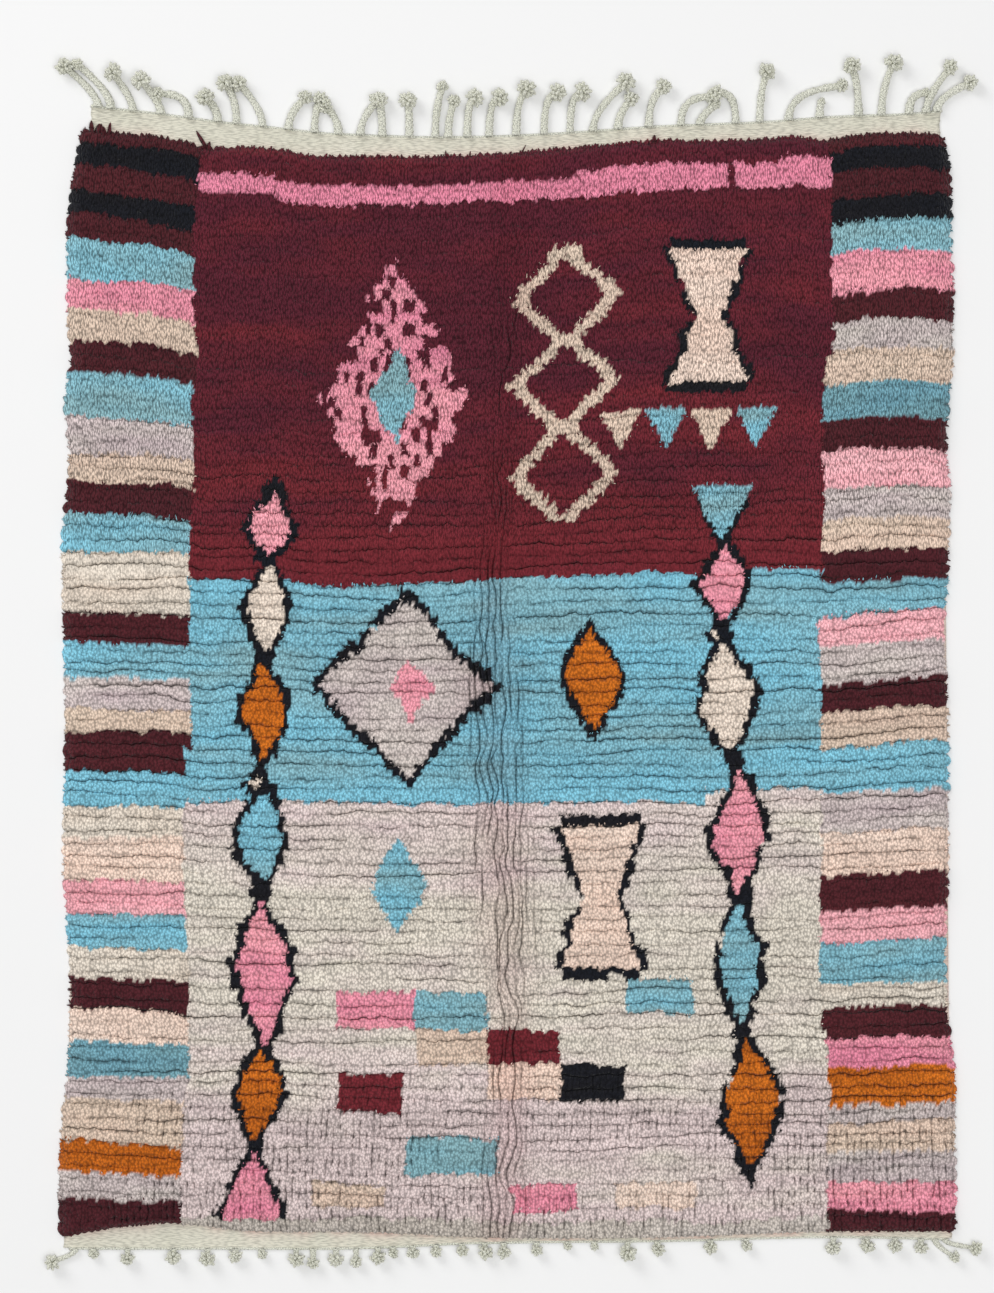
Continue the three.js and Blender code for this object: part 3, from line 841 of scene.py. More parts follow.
print(f"pile top from {TOP_Z.min():.1f} to {TOP_Z.max():.1f} mm")

# %% [markdown]
# ## Sides and underside of the pile
# At each side the end of a row of tufts bulges past the woven edge and droops to the floor, so the
# side of the rug is scalloped. The net goes on over the side, touches the floor, tucks back under
# and runs flat across the top of the ground weave to the other side, which closes it to a tube.
# The two ends of the tube slope down onto the headings.

# %% Round the sides
UNDER_Z = 3.35
SIDE_SHAPE = [
    # share of the row end's length, share of the shoulder's height
    (0.55, 0.72),
    (0.9, 0.42),
    (1.0, 0.16),
    (0.7, 0.03),
]
TUCK = {"in": 9.0, "floor": 0.35}
ROW_END = {"short": 3.5, "long": 11.0, "least": 1.5, "ragged": 0.7}


def side_columns(side):
    """Columns of the side wall, from the shoulder out, down and under. A row end's length is its
    own random number times the square root of a half wave over the row."""
    shape = LINE_ROW % 1
    own = scatter(ROWS + 1, ROW_END["short"], ROW_END["long"], 141 + side)[LOW_ROW[:, 0].astype(int)]
    length = ROW_END["least"] + own * np.sqrt(np.sin(np.pi * shape))
    length = length + scatter(len(LINE_ROW), -ROW_END["ragged"], ROW_END["ragged"], 143 + side)
    edge_column = -1 if side > 0 else 0
    x, y, z = (grid[:, edge_column] for grid in (TOP_X, TOP_Y, TOP_Z))
    columns = [
        np.stack([x + side * length * out, y, np.maximum(z * up, TUCK["floor"])], axis=-1)
        for out, up in SIDE_SHAPE
    ]
    columns.append(np.stack([x - side * TUCK["in"], y, np.full_like(x, TUCK["floor"])], axis=-1))
    columns.append(np.stack([x - side * (TUCK["in"] + 0.5), y, np.full_like(x, UNDER_Z)], axis=-1))
    return np.stack(columns, axis=1)


top_net = np.stack([TOP_X, TOP_Y, TOP_Z], axis=-1)
left_wall = side_columns(-1)[:, ::-1]
right_wall = side_columns(1)
PILE_NET = np.concatenate([left_wall, top_net, right_wall], axis=1)
WALL = left_wall.shape[1]

# %% Down onto the headings
END_SLOPE = [
    # share of the tuft's reach, share of the way down
    (0.5, 0.35),
    (0.9, 0.75),
    (1.0, 1.0),
]
END_TUFT = {"upper": 9.5, "lower": 4.5, "least": 1.5, "spread": (0.25, 1.0), "above_cloth": 0.15}


def end_lines(end):
    """Lines of points past the first or last row: each tuft slopes out and down by its own reach,
    which is longest at the upper end, where the tips lie over the heading."""
    line = PILE_NET[-1 if end > 0 else 0]
    columns = len(COLUMN_KNOT)
    tip = 1 - np.abs(2 * (COLUMN_KNOT % 1) - 1)
    longest = END_TUFT["upper" if end > 0 else "lower"]
    own = scatter(KNOTS + 1, *END_TUFT["spread"], 151 + end)[np.floor(COLUMN_KNOT).astype(int)]
    reach = np.full(len(line), END_TUFT["least"])
    reach[WALL:WALL + columns] += longest * own * tip
    lowest = np.minimum(line[:, 2], UNDER_Z + END_TUFT["above_cloth"])
    made = []
    for out, down in END_SLOPE:
        slope = line.copy()
        slope[:, 1] += end * reach * out
        slope[:, 2] = between(line[:, 2], lowest, down)
        made.append(slope)
    return np.array(made)


upper_end, lower_end = end_lines(1), end_lines(-1)[::-1]
PILE_NET = np.concatenate([lower_end, PILE_NET, upper_end])
EXTRA = len(upper_end)
print("whole pile net:", PILE_NET.shape)

# %% [markdown]
# ## Colour of each tuft
# Each point of the net belongs to one knot, and takes that knot's wool from the chart. The lot drifts
# across the rug in wide, flat clouds, because the weaver works along the rows, and every row
# and every knot is a little lighter or darker. A second mask follows the depth of the furrows, where
# the wool is darkened as painted shade. Along the old fold the colour is darkened by painted shade
# too.

# %% Wool colours over the pile
DEPTH_OF_FULL_SHADE = 8.0
LEAN = {"tuft": 0.3, "knot": 0.15, "up": 0.16, "brushed_up": 0.1}
CLOUD = {"middle": 0.5, "wide": 0.45, "narrow": 0.35}
TONE = {"row": 0.08, "tuft": 0.14}


def wool_seen(knot, row):
    """Number of the wool seen at a count of knots and rows. Tufts lean over their neighbours, so
    the chart is read a little to one side or the other, and brushed tufts reach up a row."""
    lean = LEAN["tuft"] * drift(knot, row, 0.55, 0.45, 211)
    lean = lean + LEAN["knot"] * drift(knot, row, 1.3, 1, 212)
    reach = LEAN["up"] * drift(knot, row, 0.6, 0.5, 213)
    reach = reach - LEAN["brushed_up"] * brushed(row) * (1 + drift(knot, row, 0.5, 1, 214))
    i = np.clip(np.floor((row + reach) * CELLS), 0, ROWS * CELLS - 1).astype(int)
    j = np.clip(np.floor((knot + lean) * CELLS), 0, KNOTS * CELLS - 1).astype(int)
    return CHART[i, j]


def wool_colours(knot, row, wool=None):
    """Linear colour of the wool at a count of knots and rows. The drift colour is blended in by a
    cloud 30 knots by 3 rows, by a smaller one 7 knots wide and by the lot's drift on the way up.
    Then tones by row and by single tuft are multiplied in."""
    wool = wool_seen(knot, row) if wool is None else wool
    cloud = CLOUD["middle"] + CLOUD["wide"] * drift(knot, row + 7 * wool, 30, 3, 201)
    cloud = cloud + CLOUD["narrow"] * drift(knot, row, 7, 1, 202)
    for name, (rows, shares) in DRIFT_ON_THE_WAY.items():
        cloud = cloud + np.where(wool == WOOL_NAMES.index(name), np.interp(row, rows, shares), 0)
    cloud = np.clip(cloud, 0, 1)[..., None]
    colour = MAIN_COLOURS[wool] * (1 - cloud) + DRIFT_COLOURS[wool] * cloud
    tone = 1 + TONE["row"] * drift(knot, row, 40, 1, 203)
    tone = tone + TONE["tuft"] * drift(knot, row, 0.8, 0.5, 204)
    return colour * tone[..., None]


net_knot = np.concatenate([np.zeros(WALL), COLUMN_KNOT, np.full(WALL, KNOTS - 0.5)])
net_row = np.concatenate([np.full(EXTRA, 0.5), LINE_ROW, np.full(EXTRA, ROWS - 0.5)])
NET_V, NET_U = np.meshgrid(net_row, net_knot, indexing="ij")
# painted shade along the old fold, where the pile is parted: green and blue are darkened more than red
FOLD_SHADE_TINT = np.array([0.07, 0.14, 0.13])
NET_COLOURS = wool_colours(NET_U, NET_V) * (1 - FOLD_SHADE_TINT * creased(NET_U, NET_V)[..., None])
# the root mask: 0 on the tops, 1 in the deepest furrows; the finish turns it into painted shade
NET_FURROW_SHADE = np.zeros(NET_V.shape)
NET_FURROW_SHADE[EXTRA:-EXTRA, WALL:-WALL] = np.clip(SUNK / DEPTH_OF_FULL_SHADE, 0, 1)

# %% Cut the pile into bands
BAND_ROWS = [0, 18, 36, 54, 72, 90]


def pile_band(number, first_row, last_row):
    """One band of the pile: the lines between two furrows, closed at both ends and below."""
    per_row = len(ROW_STOPS)
    first = 0 if first_row == 0 else EXTRA + first_row * per_row
    last = len(PILE_NET) if last_row == ROWS else EXTRA + last_row * per_row + 1
    return closed_slab(
        f"pile_rows_{number}",
        PILE_NET[first:last],
        UNDER_Z,
        WALL + 2 * len(KNOT_STOPS),
        colours=NET_COLOURS[first:last],
        roots=NET_FURROW_SHADE[first:last],
    )


PILE_BANDS = [
    pile_band(number + 1, *BAND_ROWS[number:number + 2]) for number in range(len(BAND_ROWS) - 1)
]

# %% [markdown]
# ## Locks of wool
# What makes a knotted rug look soft is its outline: at the sides, at the ends and wherever two
# colours meet, single locks of wool lie across the line. Each lock is a tapered tube of a few
# faces. A root, a direction, a length and a droop describe it, and all locks of a kind are worked
# out together as one array.

# %% Locks as arrays
LOCK_RINGS = np.array([0.0, 0.45, 0.8, 1.0])
LOCK_WIDTHS = np.array([0.8, 1.0, 0.7, 0.2])
LOCK_SIDES = 3


def lock_points(root, turn, length, width, lift, droop):
    """Points of many locks. Along a lock the middle line runs out by its length in its direction
    and its height is root plus lift times share minus droop times share squared."""
    out = np.stack([np.cos(turn), np.sin(turn), np.zeros_like(turn)], axis=-1)
    beside = np.stack([-np.sin(turn), np.cos(turn), np.zeros_like(turn)], axis=-1)
    share = LOCK_RINGS[None, :, None]
    line = root[:, None, :] + out[:, None, :] * length[:, None, None] * share
    line[..., 2] += (lift[:, None] * LOCK_RINGS - droop[:, None] * LOCK_RINGS ** 2)
    angle = 2 * np.pi * np.arange(LOCK_SIDES) / LOCK_SIDES
    radius = 0.5 * width[:, None] * LOCK_WIDTHS
    across = beside[:, None, None, :] * (np.cos(angle)[:, None] * radius[:, :, None, None])
    points = line[:, :, None, :] + across
    points[..., 2] += np.sin(angle) * radius[:, :, None] * 0.8
    points[..., 2] = np.maximum(points[..., 2], 0.3)
    return points


def make_locks(name, root, turn, length, width, lift, droop, colours):
    """One piece that holds all the locks of a kind, each in its own colour."""
    points = lock_points(root, turn, length, width, lift, droop)
    count, rings, sides = points.shape[:3]
    spread = np.broadcast_to(colours[:, None, None, :], points.shape)
    faces = tube_faces(count, rings, sides)
    return make_piece(name, points, faces, colours=spread, roots=np.zeros(points.shape[:3]))


# %% Locks at the two sides
LOCKS_PER_ROW_END = 9
SIDE_LOCK = {
    "along_row": (0.12, 0.88), "root": (2.0, 9.0), "fan": (-0.75, 0.75), "lean": 0.3,
    "length": (5.0, 13.5), "width": (3.2, 6.0), "droop": 0.85,
}


def side_locks(side):
    """Locks that hang over a side: roots along each row end, directions fanned about straight out."""
    count = ROWS * LOCKS_PER_ROW_END
    seeds = 401 + 10 * side
    row = np.repeat(np.arange(ROWS), LOCKS_PER_ROW_END)
    row = row + scatter(count, *SIDE_LOCK["along_row"], seeds)
    knot = np.full(count, 0.0 if side < 0 else float(KNOTS))
    x, y = pile_place(knot, row)
    root = np.stack([x, y, scatter(count, *SIDE_LOCK["root"], seeds + 1)], axis=-1)
    turn = (0.0 if side > 0 else np.pi) + side * SIDE_LOCK["lean"]
    turn = turn + scatter(count, *SIDE_LOCK["fan"], seeds + 2)
    length = scatter(count, *SIDE_LOCK["length"], seeds + 3)
    length = length * (0.55 + 0.45 * np.sin(np.pi * (row % 1)))
    colours = wool_colours(np.clip(knot, 0, KNOTS - 1), row)
    name = "side_locks_right" if side > 0 else "side_locks_left"
    width = scatter(count, *SIDE_LOCK["width"], seeds + 4)
    droop = root[:, 2] * SIDE_LOCK["droop"]
    return make_locks(name, root, turn, length, width, 0 * length, droop, colours)


# %% Locks along the two ends
LOCKS_PER_END_KNOT = {"upper": 3, "lower": 1}
END_LOCK_LENGTH = {"upper": (6.0, 13.0), "lower": (6.0, 8.0)}
END_LOCK = {
    "from_end": 0.12, "from_side": 0.2, "root": (6.0, 10.0), "fan": (-0.5, 0.5), "width": (4.0, 8.0),
    "tip": 4.6,
}


def end_locks(end):
    """Locks that lie over a heading: roots along the last row, directions fanned about the warps."""
    name = "upper" if end > 0 else "lower"
    count = KNOTS * LOCKS_PER_END_KNOT[name]
    seeds = 431 + 10 * end
    knot = scatter(count, END_LOCK["from_side"], KNOTS - END_LOCK["from_side"], seeds)
    row = np.full(count, ROWS - END_LOCK["from_end"] if end > 0 else END_LOCK["from_end"])
    x, y = pile_place(knot, row)
    root = np.stack([x, y, scatter(count, *END_LOCK["root"], seeds + 1)], axis=-1)
    turn = end * np.pi / 2 + scatter(count, *END_LOCK["fan"], seeds + 2)
    length = scatter(count, *END_LOCK_LENGTH[name], seeds + 3)
    width = scatter(count, *END_LOCK["width"], seeds + 4)
    colours = wool_colours(knot, np.clip(row, 0.5, ROWS - 0.5))
    droop = root[:, 2] - END_LOCK["tip"]
    return make_locks(f"end_locks_{name}", root, turn, length, width, 0 * length, droop, colours)


# %% Locks where two colours meet
MEETING = {
    "kept": (0.5, 0.95), "behind_line": (0.05, 0.3), "fan": 0.42, "upward": (4.5, 9.5),
    "if_brushed": (0.85, 1.4), "sideways_turn": (0.4, 1.8), "sideways": (4.0, 8.0),
    "depth": (2.0, 4.5), "width": (2.2, 4.2), "lift": (0.5, 3.0), "droop": (0.5, 2.5),
}


def meeting_locks():
    """Locks across the lines between two wools. Over a line between two rows the lower wool's
    tips point up, as the whole pile leans, and beside a line along the rug either wool may lean
    over. Each lock has the wool of the cell that it grows from."""
    rng = np.random.default_rng(461)
    low, at = np.nonzero(CHART[1:] != CHART[:-1])
    kept = rng.uniform(0, 1, len(low)) < between(*MEETING["kept"], brushed(low / CELLS))
    low, at = low[kept], at[kept]
    count = len(low)
    upward = {
        "knot": (at + rng.uniform(0, 1, count)) / CELLS,
        "row": (low + 1) / CELLS - rng.uniform(*MEETING["behind_line"], count),
        "turn": np.pi / 2 + rng.normal(0, MEETING["fan"], count),
        "length": rng.uniform(*MEETING["upward"], count),
        "wool": CHART[low, at],
    }
    upward["length"] *= between(*MEETING["if_brushed"], brushed(low / CELLS))
    low, at = np.nonzero(CHART[:, 1:] != CHART[:, :-1])
    count = len(low)
    side = rng.choice([-1, 1], count)
    sideways = {
        "knot": (at + 1) / CELLS - side * rng.uniform(*MEETING["behind_line"], count),
        "row": (low + rng.uniform(0, 1, count)) / CELLS,
        "turn": np.pi / 2 - side * rng.uniform(*MEETING["sideways_turn"], count),
        "length": rng.uniform(*MEETING["sideways"], count),
        "wool": CHART[low, at + (side < 0)],
    }
    both = {key: np.concatenate([upward[key], sideways[key]]) for key in upward}
    count = len(both["knot"])
    x, y = pile_place(both["knot"], both["row"])
    depth = rng.uniform(*MEETING["depth"], count)
    inside = shoulder(KNOT_PITCH * np.minimum(both["knot"], KNOTS - both["knot"]))
    root = np.stack([x, y, pile_height(x, y) * inside - depth], axis=-1)
    width = rng.uniform(*MEETING["width"], count)
    colours = wool_colours(both["knot"], both["row"], both["wool"])
    lift = depth + rng.uniform(*MEETING["lift"], count)
    droop = rng.uniform(*MEETING["droop"], count)
    return make_locks(
        "meeting_locks", root, both["turn"], both["length"], width, lift, droop, colours
    )


# %% Stray yarns on the upper heading
STRAY_YARNS = np.array([
    # x and y of the root in mm, direction in degrees, length, width
    [-612, 1030, 122, 42, 10.5],
    [-640, 1024, 24, 34, 8.0],
    [-610, 1022, 82, 22, 11.0],
    [16, 1016, 64, 24, 4.0],
    [82, 1018, 92, 16, 4.5],
    [-133, 1010, 95, 16, 6.0],
    [-86, 1010, 86, 15, 5.0],
    [284, 1040, 90, 17, 11.0],
    [-842, 1060, 95, 26, 13.0],
    [-832, 1058, 80, 22, 13.0],
    [-822, 1058, 98, 22, 12.0],
    [-808, 1056, 86, 26, 10.0],
    [-816, 1054, 102, 20, 13.0],
], float)
STRAY_ROOT, STRAY_DROOP = 9.0, 3.5


def stray_yarns():
    """Single long ends of the first upper row that lie across the heading."""
    x, y, degrees, length, width = STRAY_YARNS.T
    root = np.stack([x, y, np.full_like(x, STRAY_ROOT)], axis=-1)
    colours = np.broadcast_to(MAIN_COLOURS[WOOL_NAMES.index("maroon")], root.shape)
    droop = np.full_like(x, STRAY_DROOP)
    return make_locks("stray_yarns", root, np.radians(degrees), length, width, 0 * x, droop, colours)


LOCK_PIECES = [side_locks(-1), side_locks(1), end_locks(1), end_locks(-1)]
LOCK_PIECES += [meeting_locks(), stray_yarns()]

# %% [markdown]
# ## The woven ground and its headings
# Under the pile lies a plain cloth of wool warps and wefts. It shows only at the two ends, as flat
# headings with fine ribs, because the wefts are beaten in hard over the warps. It is a thin closed
# sheet. Its lines of points are crowded in the headings, where the ribs are raised, and far apart
# under the pile. A mask along the pile's edge marks where dye has bled into the undyed wool.

# %% Ground sheet
GROUND = {"thickness": 2.6, "under_pile": 26.0, "columns": 220, "inner": 12}
GROUND_INSET_AT = [-1170, -1100, 900, 1100]
GROUND_INSET = {"left": [8, 12, 12, 21], "right": [6, 12, 12, 3]}
RIB = {"pitch": 4.2, "height": 1.0, "sway": 0.6, "beat": 0.25}
SHEET_FLOOR, SHEET_BELOW_PILE = 0.15, 0.15
LIFTED_EDGE = {"buckle": 0.5, "buckle_reach": 12, "room": 2.0, "room_reach": 10}
SELVEDGE = {"sway": 1.2, "tuck": 0.6}
BLEED = {"reach": 9, "usual": 0.6, "uneven": 0.6}
HEADING_LINES = {"upper": 4 * 18, "lower": 4 * 10}


def ground_sheet():
    """The cloth between its two edges. Height is the sheet's thickness, plus a half wave for each
    rib, plus a slow buckle of the free heading, from a small lift of its edge."""
    across = np.linspace(0, 1, GROUND["columns"])
    upper = np.linspace(0, 1, HEADING_LINES["upper"] + 1)
    lower = np.linspace(0, 1, HEADING_LINES["lower"] + 1)
    left, right = SIDE_EDGES[0, 1], SIDE_EDGES[0, 2]
    x = np.broadcast_to(between(left, right, across), (len(lower) + len(upper), len(across))).copy()
    for _ in range(SETTLING_PASSES):
        low_edge, low_pile = edge(BOTTOM_EDGES, "heading", x), edge(BOTTOM_EDGES, "pile", x)
        high_edge, high_pile = edge(TOP_EDGES, "heading", x), edge(TOP_EDGES, "pile", x)
        y = np.concatenate([
            between(
                low_edge[:len(lower)], low_pile[:len(lower)] + GROUND["under_pile"], lower[:, None]
            ),
            between(
                high_pile[len(lower):] - GROUND["under_pile"], high_edge[len(lower):], upper[:, None]
            ),
        ])
        left = edge(SIDE_EDGES, "left", y) + np.interp(y, GROUND_INSET_AT, GROUND_INSET["left"])
        right = edge(SIDE_EDGES, "right", y) - np.interp(y, GROUND_INSET_AT, GROUND_INSET["right"])
        x = between(left, right, across)
    upper_edge, lower_edge = edge(TOP_EDGES, "heading", x), edge(BOTTOM_EDGES, "heading", x)
    from_edge = np.where(y > 0, upper_edge - y, y - lower_edge)
    sway = RIB["sway"] * drift(x, y, 60, 400, 501)
    rib = np.abs(np.sin(np.pi * (from_edge + sway) / RIB["pitch"]))
    beat = RIB["beat"] * drift(x, from_edge, 5, RIB["pitch"], 502)
    z = GROUND["thickness"] + RIB["height"] * (rib - 0.5) + beat * rib
    buckle = LIFTED_EDGE["buckle"] * (1 + drift(x, y, 90, 600, 503))
    z = z + buckle * np.exp(-from_edge / LIFTED_EDGE["buckle_reach"])
    room = LIFTED_EDGE["room"] * np.exp(-from_edge / LIFTED_EDGE["room_reach"])
    z = np.minimum(z, UNDER_Z - SHEET_BELOW_PILE + room)
    x[:, 0] += SELVEDGE["sway"] * drift(y[:, 0], 0, 6, 1, 504)
    x[:, -1] += SELVEDGE["sway"] * drift(y[:, -1], 0, 6, 1, 505)
    top = np.stack([x, y, z], axis=-1)
    low = np.full(len(x), SHEET_FLOOR)
    floor_left = np.stack([x[:, 0] + SELVEDGE["tuck"], y[:, 0], low], axis=-1)
    floor_right = np.stack([x[:, -1] - SELVEDGE["tuck"], y[:, -1], low], axis=-1)
    net = np.concatenate([floor_left[:, None], top, floor_right[:, None]], axis=1)
    from_pile = np.where(y > 0, y - edge(TOP_EDGES, "pile", x), edge(BOTTOM_EDGES, "pile", x) - y)
    strength = BLEED["usual"] + BLEED["uneven"] * drift(x, y, 35, 400, 506)
    bleed = np.exp(-np.maximum(from_pile, 0) / BLEED["reach"]) * strength
    bleed = np.pad(np.clip(bleed, 0, 1), ((0, 0), (1, 1)), mode="edge")
    return closed_slab("ground_cloth", net, SHEET_FLOOR, GROUND["inner"], roots=bleed)


ground_cloth = ground_sheet()

# %% [markdown]
# ## The fringes
# At the upper end the warps are plied into cords about 15 mm thick, and each cord ends in a tied
# bunch of folded yarn. At the lower end only short ends peek out. A cord is laid along a smooth
# curve from the heading to its bunch: three tubes of yarn are carried along the curve and turned
# round each other. A bunch is a handful of plump fingers of yarn fanned out from the tie.

# %% Routes of the cords
CORD_COLUMNS = {"root": 0, "lean": 1, "reach": 2, "rise": 3, "puff": 4}
TOP_CORDS = np.array([
    # root, lean, reach, rise, bunch radius
    [-832, -66, 82, 20, 20],
    [-806, -66, 90, 26, 14],
    [-762, -38, 76, 16, 22],
    [-706, -38, 68, 16, 22],
    [-650, -62, 50, 44, 15],
    [-592, -24, 50, 20, 21],
    [-554, -22, 84, 40, 20],
    [-502, -46, 88, 26, 19],
    [-450, 34, 66, 26, 16],
    [-398, 12, 68, 34, 17],
    [-350, -26, 58, 26, 17],
    [-306, 34, 72, 26, 19],
    [-262, -6, 72, 34, 19],
    [-208, -2, 74, 44, 20],
    [-156, 14, 104, 50, 14],
    [-130, 12, 74, 34, 15],
    [-92, 14, 80, 62, 20],
    [-48, 20, 80, 66, 21],
    [6, 20, 94, 60, 21],
    [62, 26, 84, 72, 20],
    [114, 24, 84, 72, 21],
    [160, 66, 100, 34, 21],
    [210, 26, 62, 24, 18],
    [272, 28, 82, 50, 18],
    [336, 62, 60, 52, 17],
    [374, 32, 44, 10, 12],
    [446, -38, 62, 60, 18],
    [494, 14, 102, 50, 20],
    [552, 106, 72, 52, 15],
    [614, 4, 34, 18, 10],
    [692, -14, 102, 60, 20],
    [738, 24, 106, 46, 20],
    [793, 34, 46, 34, 10],
    [827, 48, 92, 24, 18],
    [849, 66, 60, 22, 17],
], float)
BOTTOM_CORDS = np.array([
    # root, lean, reach, rise, bunch radius
    [-876, -46, 28, 8, 18],
    [-840, 0, 13, 4, 12],
    [-772, 0, 22, 8, 16],
    [-680, 0, 19, 6, 18],
    [-612, 0, 22, 8, 18],
    [-556, 0, 17, 6, 16],
    [-502, 0, 14, 4, 12],
    [-434, 0, 22, 8, 18],
    [-400, 0, 30, 10, 14],
    [-354, 0, 23, 8, 18],
    [-314, 0, 28, 10, 14],
    [-270, 0, 21, 8, 17],
    [-240, 0, 15, 5, 12],
    [-200, 0, 16, 5, 14],
    [-154, 0, 16, 5, 13],
    [-102, 0, 16, 5, 14],
    [-56, 0, 20, 7, 18],
    [-18, 0, 20, 7, 16],
    [48, 0, 17, 5, 14],
    [110, 0, 12, 4, 10],
    [164, 0, 12, 4, 10],
    [230, 0, 24, 8, 20],
    [290, 0, 18, 6, 16],
    [396, 0, 17, 6, 16],
    [468, 0, 16, 5, 13],
    [642, 0, 22, 8, 18],
    [710, 0, 19, 6, 17],
    [766, 0, 17, 5, 16],
    [818, 0, 19, 6, 16],
    [846, 38, 38, 8, 13],
    [866, 60, 20, 5, 16],
], float)
EDGE_STRIP = {"gap": -1.4, "width": 6.0, "root_depth": 0.4}
CORD_TURN = 0.4


def cord_routes(cords, edges, outwards, steps):
    """Middle lines of all cords of a fringe on the floor, and their directions. Each is a cubic
    curve: it leaves the heading straight, and leans over to the place of its bunch."""
    root, lean, reach, rise = cords[:, :CORD_COLUMNS["puff"]].T
    base = edge(edges, "heading", root)
    inset = EDGE_STRIP["gap"] + EDGE_STRIP["width"] * EDGE_STRIP["root_depth"]
    start = np.stack([root, base + outwards * inset], axis=-1)
    out = np.stack([root, base + outwards * (EDGE_STRIP["width"] + rise)], axis=-1)
    end = np.stack([root + lean, base + outwards * (EDGE_STRIP["gap"] + reach)], axis=-1)
    turn = between(end, out, CORD_TURN)
    t = np.linspace(0, 1, steps)[None, :, None]
    corners = [point[:, None, :] for point in (start, out, turn, end)]
    line = (1 - t) ** 3 * corners[0] + 3 * t * (1 - t) ** 2 * corners[1]
    line = line + 3 * t * t * (1 - t) * corners[2] + t ** 3 * corners[3]
    way = np.gradient(line, axis=1)
    return line, way / np.linalg.norm(way, axis=-1, keepdims=True)


# %% Plied cords
PLY = {"plies": 3, "sides": 5, "flatten": 0.8, "root": 0.3, "apart": 0.17, "radius": 0.34}


def plied_tubes(line, way, thick, pitch):
    """Points of plied cords. Each ply's middle turns round the cord's middle by one turn for each
    pitch of length, a share of the thickness away, and the ply is a round tube about it. The
    thickness is uneven and swells towards the root."""
    length = np.cumsum(np.linalg.norm(np.diff(line, axis=1, prepend=line[:, :1]), axis=-1), axis=1)
    beside = np.stack([way[..., 1], -way[..., 0]], axis=-1)
    first = 2 * np.pi * np.arange(PLY["plies"]) / PLY["plies"]
    turned = 2 * np.pi * length[:, None, :] / pitch + first[None, :, None]
    angle = 2 * np.pi * np.arange(PLY["sides"]) / PLY["sides"]
    uneven = 1 + 0.12 * drift(length, np.arange(len(length))[:, None], 16, 1, 511)
    thick = (thick * (uneven + PLY["root"] * np.exp(-length / thick)))[:, None, :, None]
    apart, radius = PLY["apart"] * thick, PLY["radius"] * thick
    sideways = apart * np.cos(turned)[..., None] + radius * np.cos(angle)
    upwards = apart * np.sin(turned)[..., None] + radius * np.sin(angle)
    points = np.empty(sideways.shape + (3,))
    points[..., :2] = line[:, None, :, None, :] + beside[:, None, :, None, :] * sideways[..., None]
    points[..., 2] = np.maximum((0.54 * thick + upwards) * PLY["flatten"], 0.3)
    return points


def plied_cords(name, line, way, thick, pitch):
    """One piece that holds a fringe's cords, or the finishing edge that they grow out of."""
    points = plied_tubes(line, way, thick, pitch)
    count = points.shape[0] * points.shape[1]
    return make_piece(name, points, tube_faces(count, points.shape[2], points.shape[3]))


# %% Bunches of folded yarn
FINGER = {
    "sides": 5, "fan": 2.3, "lean": 0.35, "spread": 0.14, "turn": 0.25, "length": (0.8, 1.08),
    "middle": 0.72, "width": 0.21,
}
FINGER_RINGS = np.array([0.15, 0.6, 0.9, 1.0])
FINGER_WIDTHS = np.array([0.6, 1.0, 0.8, 0.25])
GOLDEN_TURN = np.pi * (3 - np.sqrt(5))


def bunches(name, tie, way, radius, fingers):
    """Bunches at the ends of the cords. Fingers point over a cap about the cord's own direction,
    spread by the golden angle. Each is a plump tube that thins at the tie and at its tip."""
    count = len(tie)
    order = np.arange(fingers)
    spread = np.arccos(1 - (1 - np.cos(FINGER["fan"])) * (order + 0.5) / fingers)
    about = GOLDEN_TURN * order
    seeds = 601 + fingers
    spread = spread + scatter((count, fingers), -FINGER["spread"], FINGER["spread"], seeds)
    about = about + scatter((count, fingers), -FINGER["turn"], FINGER["turn"], seeds + 1)
    lean = FINGER["lean"]
    ahead = np.concatenate([way * np.cos(lean), np.full((count, 1), np.sin(lean))], axis=1)
    beside = np.stack([way[:, 1], -way[:, 0], np.zeros(count)], axis=-1)
    over = np.cross(beside, ahead)
    point = (
        np.cos(spread)[..., None] * ahead[:, None]
        + (np.sin(spread) * np.cos(about))[..., None] * beside[:, None]
        + (np.sin(spread) * np.sin(about))[..., None] * over[:, None]
    )
    length = radius[:, None] * scatter((count, fingers), *FINGER["length"], seeds + 2)
    middle = np.concatenate([tie, FINGER["middle"] * radius[:, None]], axis=1)
    out = point[:, :, None] * length[:, :, None, None] * FINGER_RINGS[:, None]
    line = middle[:, None, None] + out
    upright = np.array([0.0, 0.0, 1.0])
    first = np.cross(point, upright)
    first = first / np.maximum(np.linalg.norm(first, axis=-1, keepdims=True), 1e-6)
    second = np.cross(first, point)
    angle = 2 * np.pi * np.arange(FINGER["sides"]) / FINGER["sides"]
    ring = first[:, :, None] * np.cos(angle)[:, None] + second[:, :, None] * np.sin(angle)[:, None]
    width = (FINGER["width"] * radius)[:, None, None, None, None] * FINGER_WIDTHS[:, None, None]
    points = line[:, :, :, None] + ring[:, :, None] * width
    points[..., 2] = np.maximum(points[..., 2], 0.3)
    points = points[:, :, :, ::-1]
    return make_piece(name, points, tube_faces(count * fingers, len(FINGER_RINGS), FINGER["sides"]))


# %% Both fringes
FRINGES = [
    {
        "name": "top", "cords": TOP_CORDS, "edges": TOP_EDGES, "outwards": 1, "steps": 32,
        "thick": 15.5, "pitch": 34.0, "fingers": 27, "from": -846, "to": 862,
    },
    {
        "name": "bottom", "cords": BOTTOM_CORDS, "edges": BOTTOM_EDGES, "outwards": -1, "steps": 10,
        "thick": 11.0, "pitch": 24.0, "fingers": 22, "from": -890, "to": 876,
    },
]
EDGE_CORD = {"thick": 5.4, "pitch": 22.0, "step": 4.6}


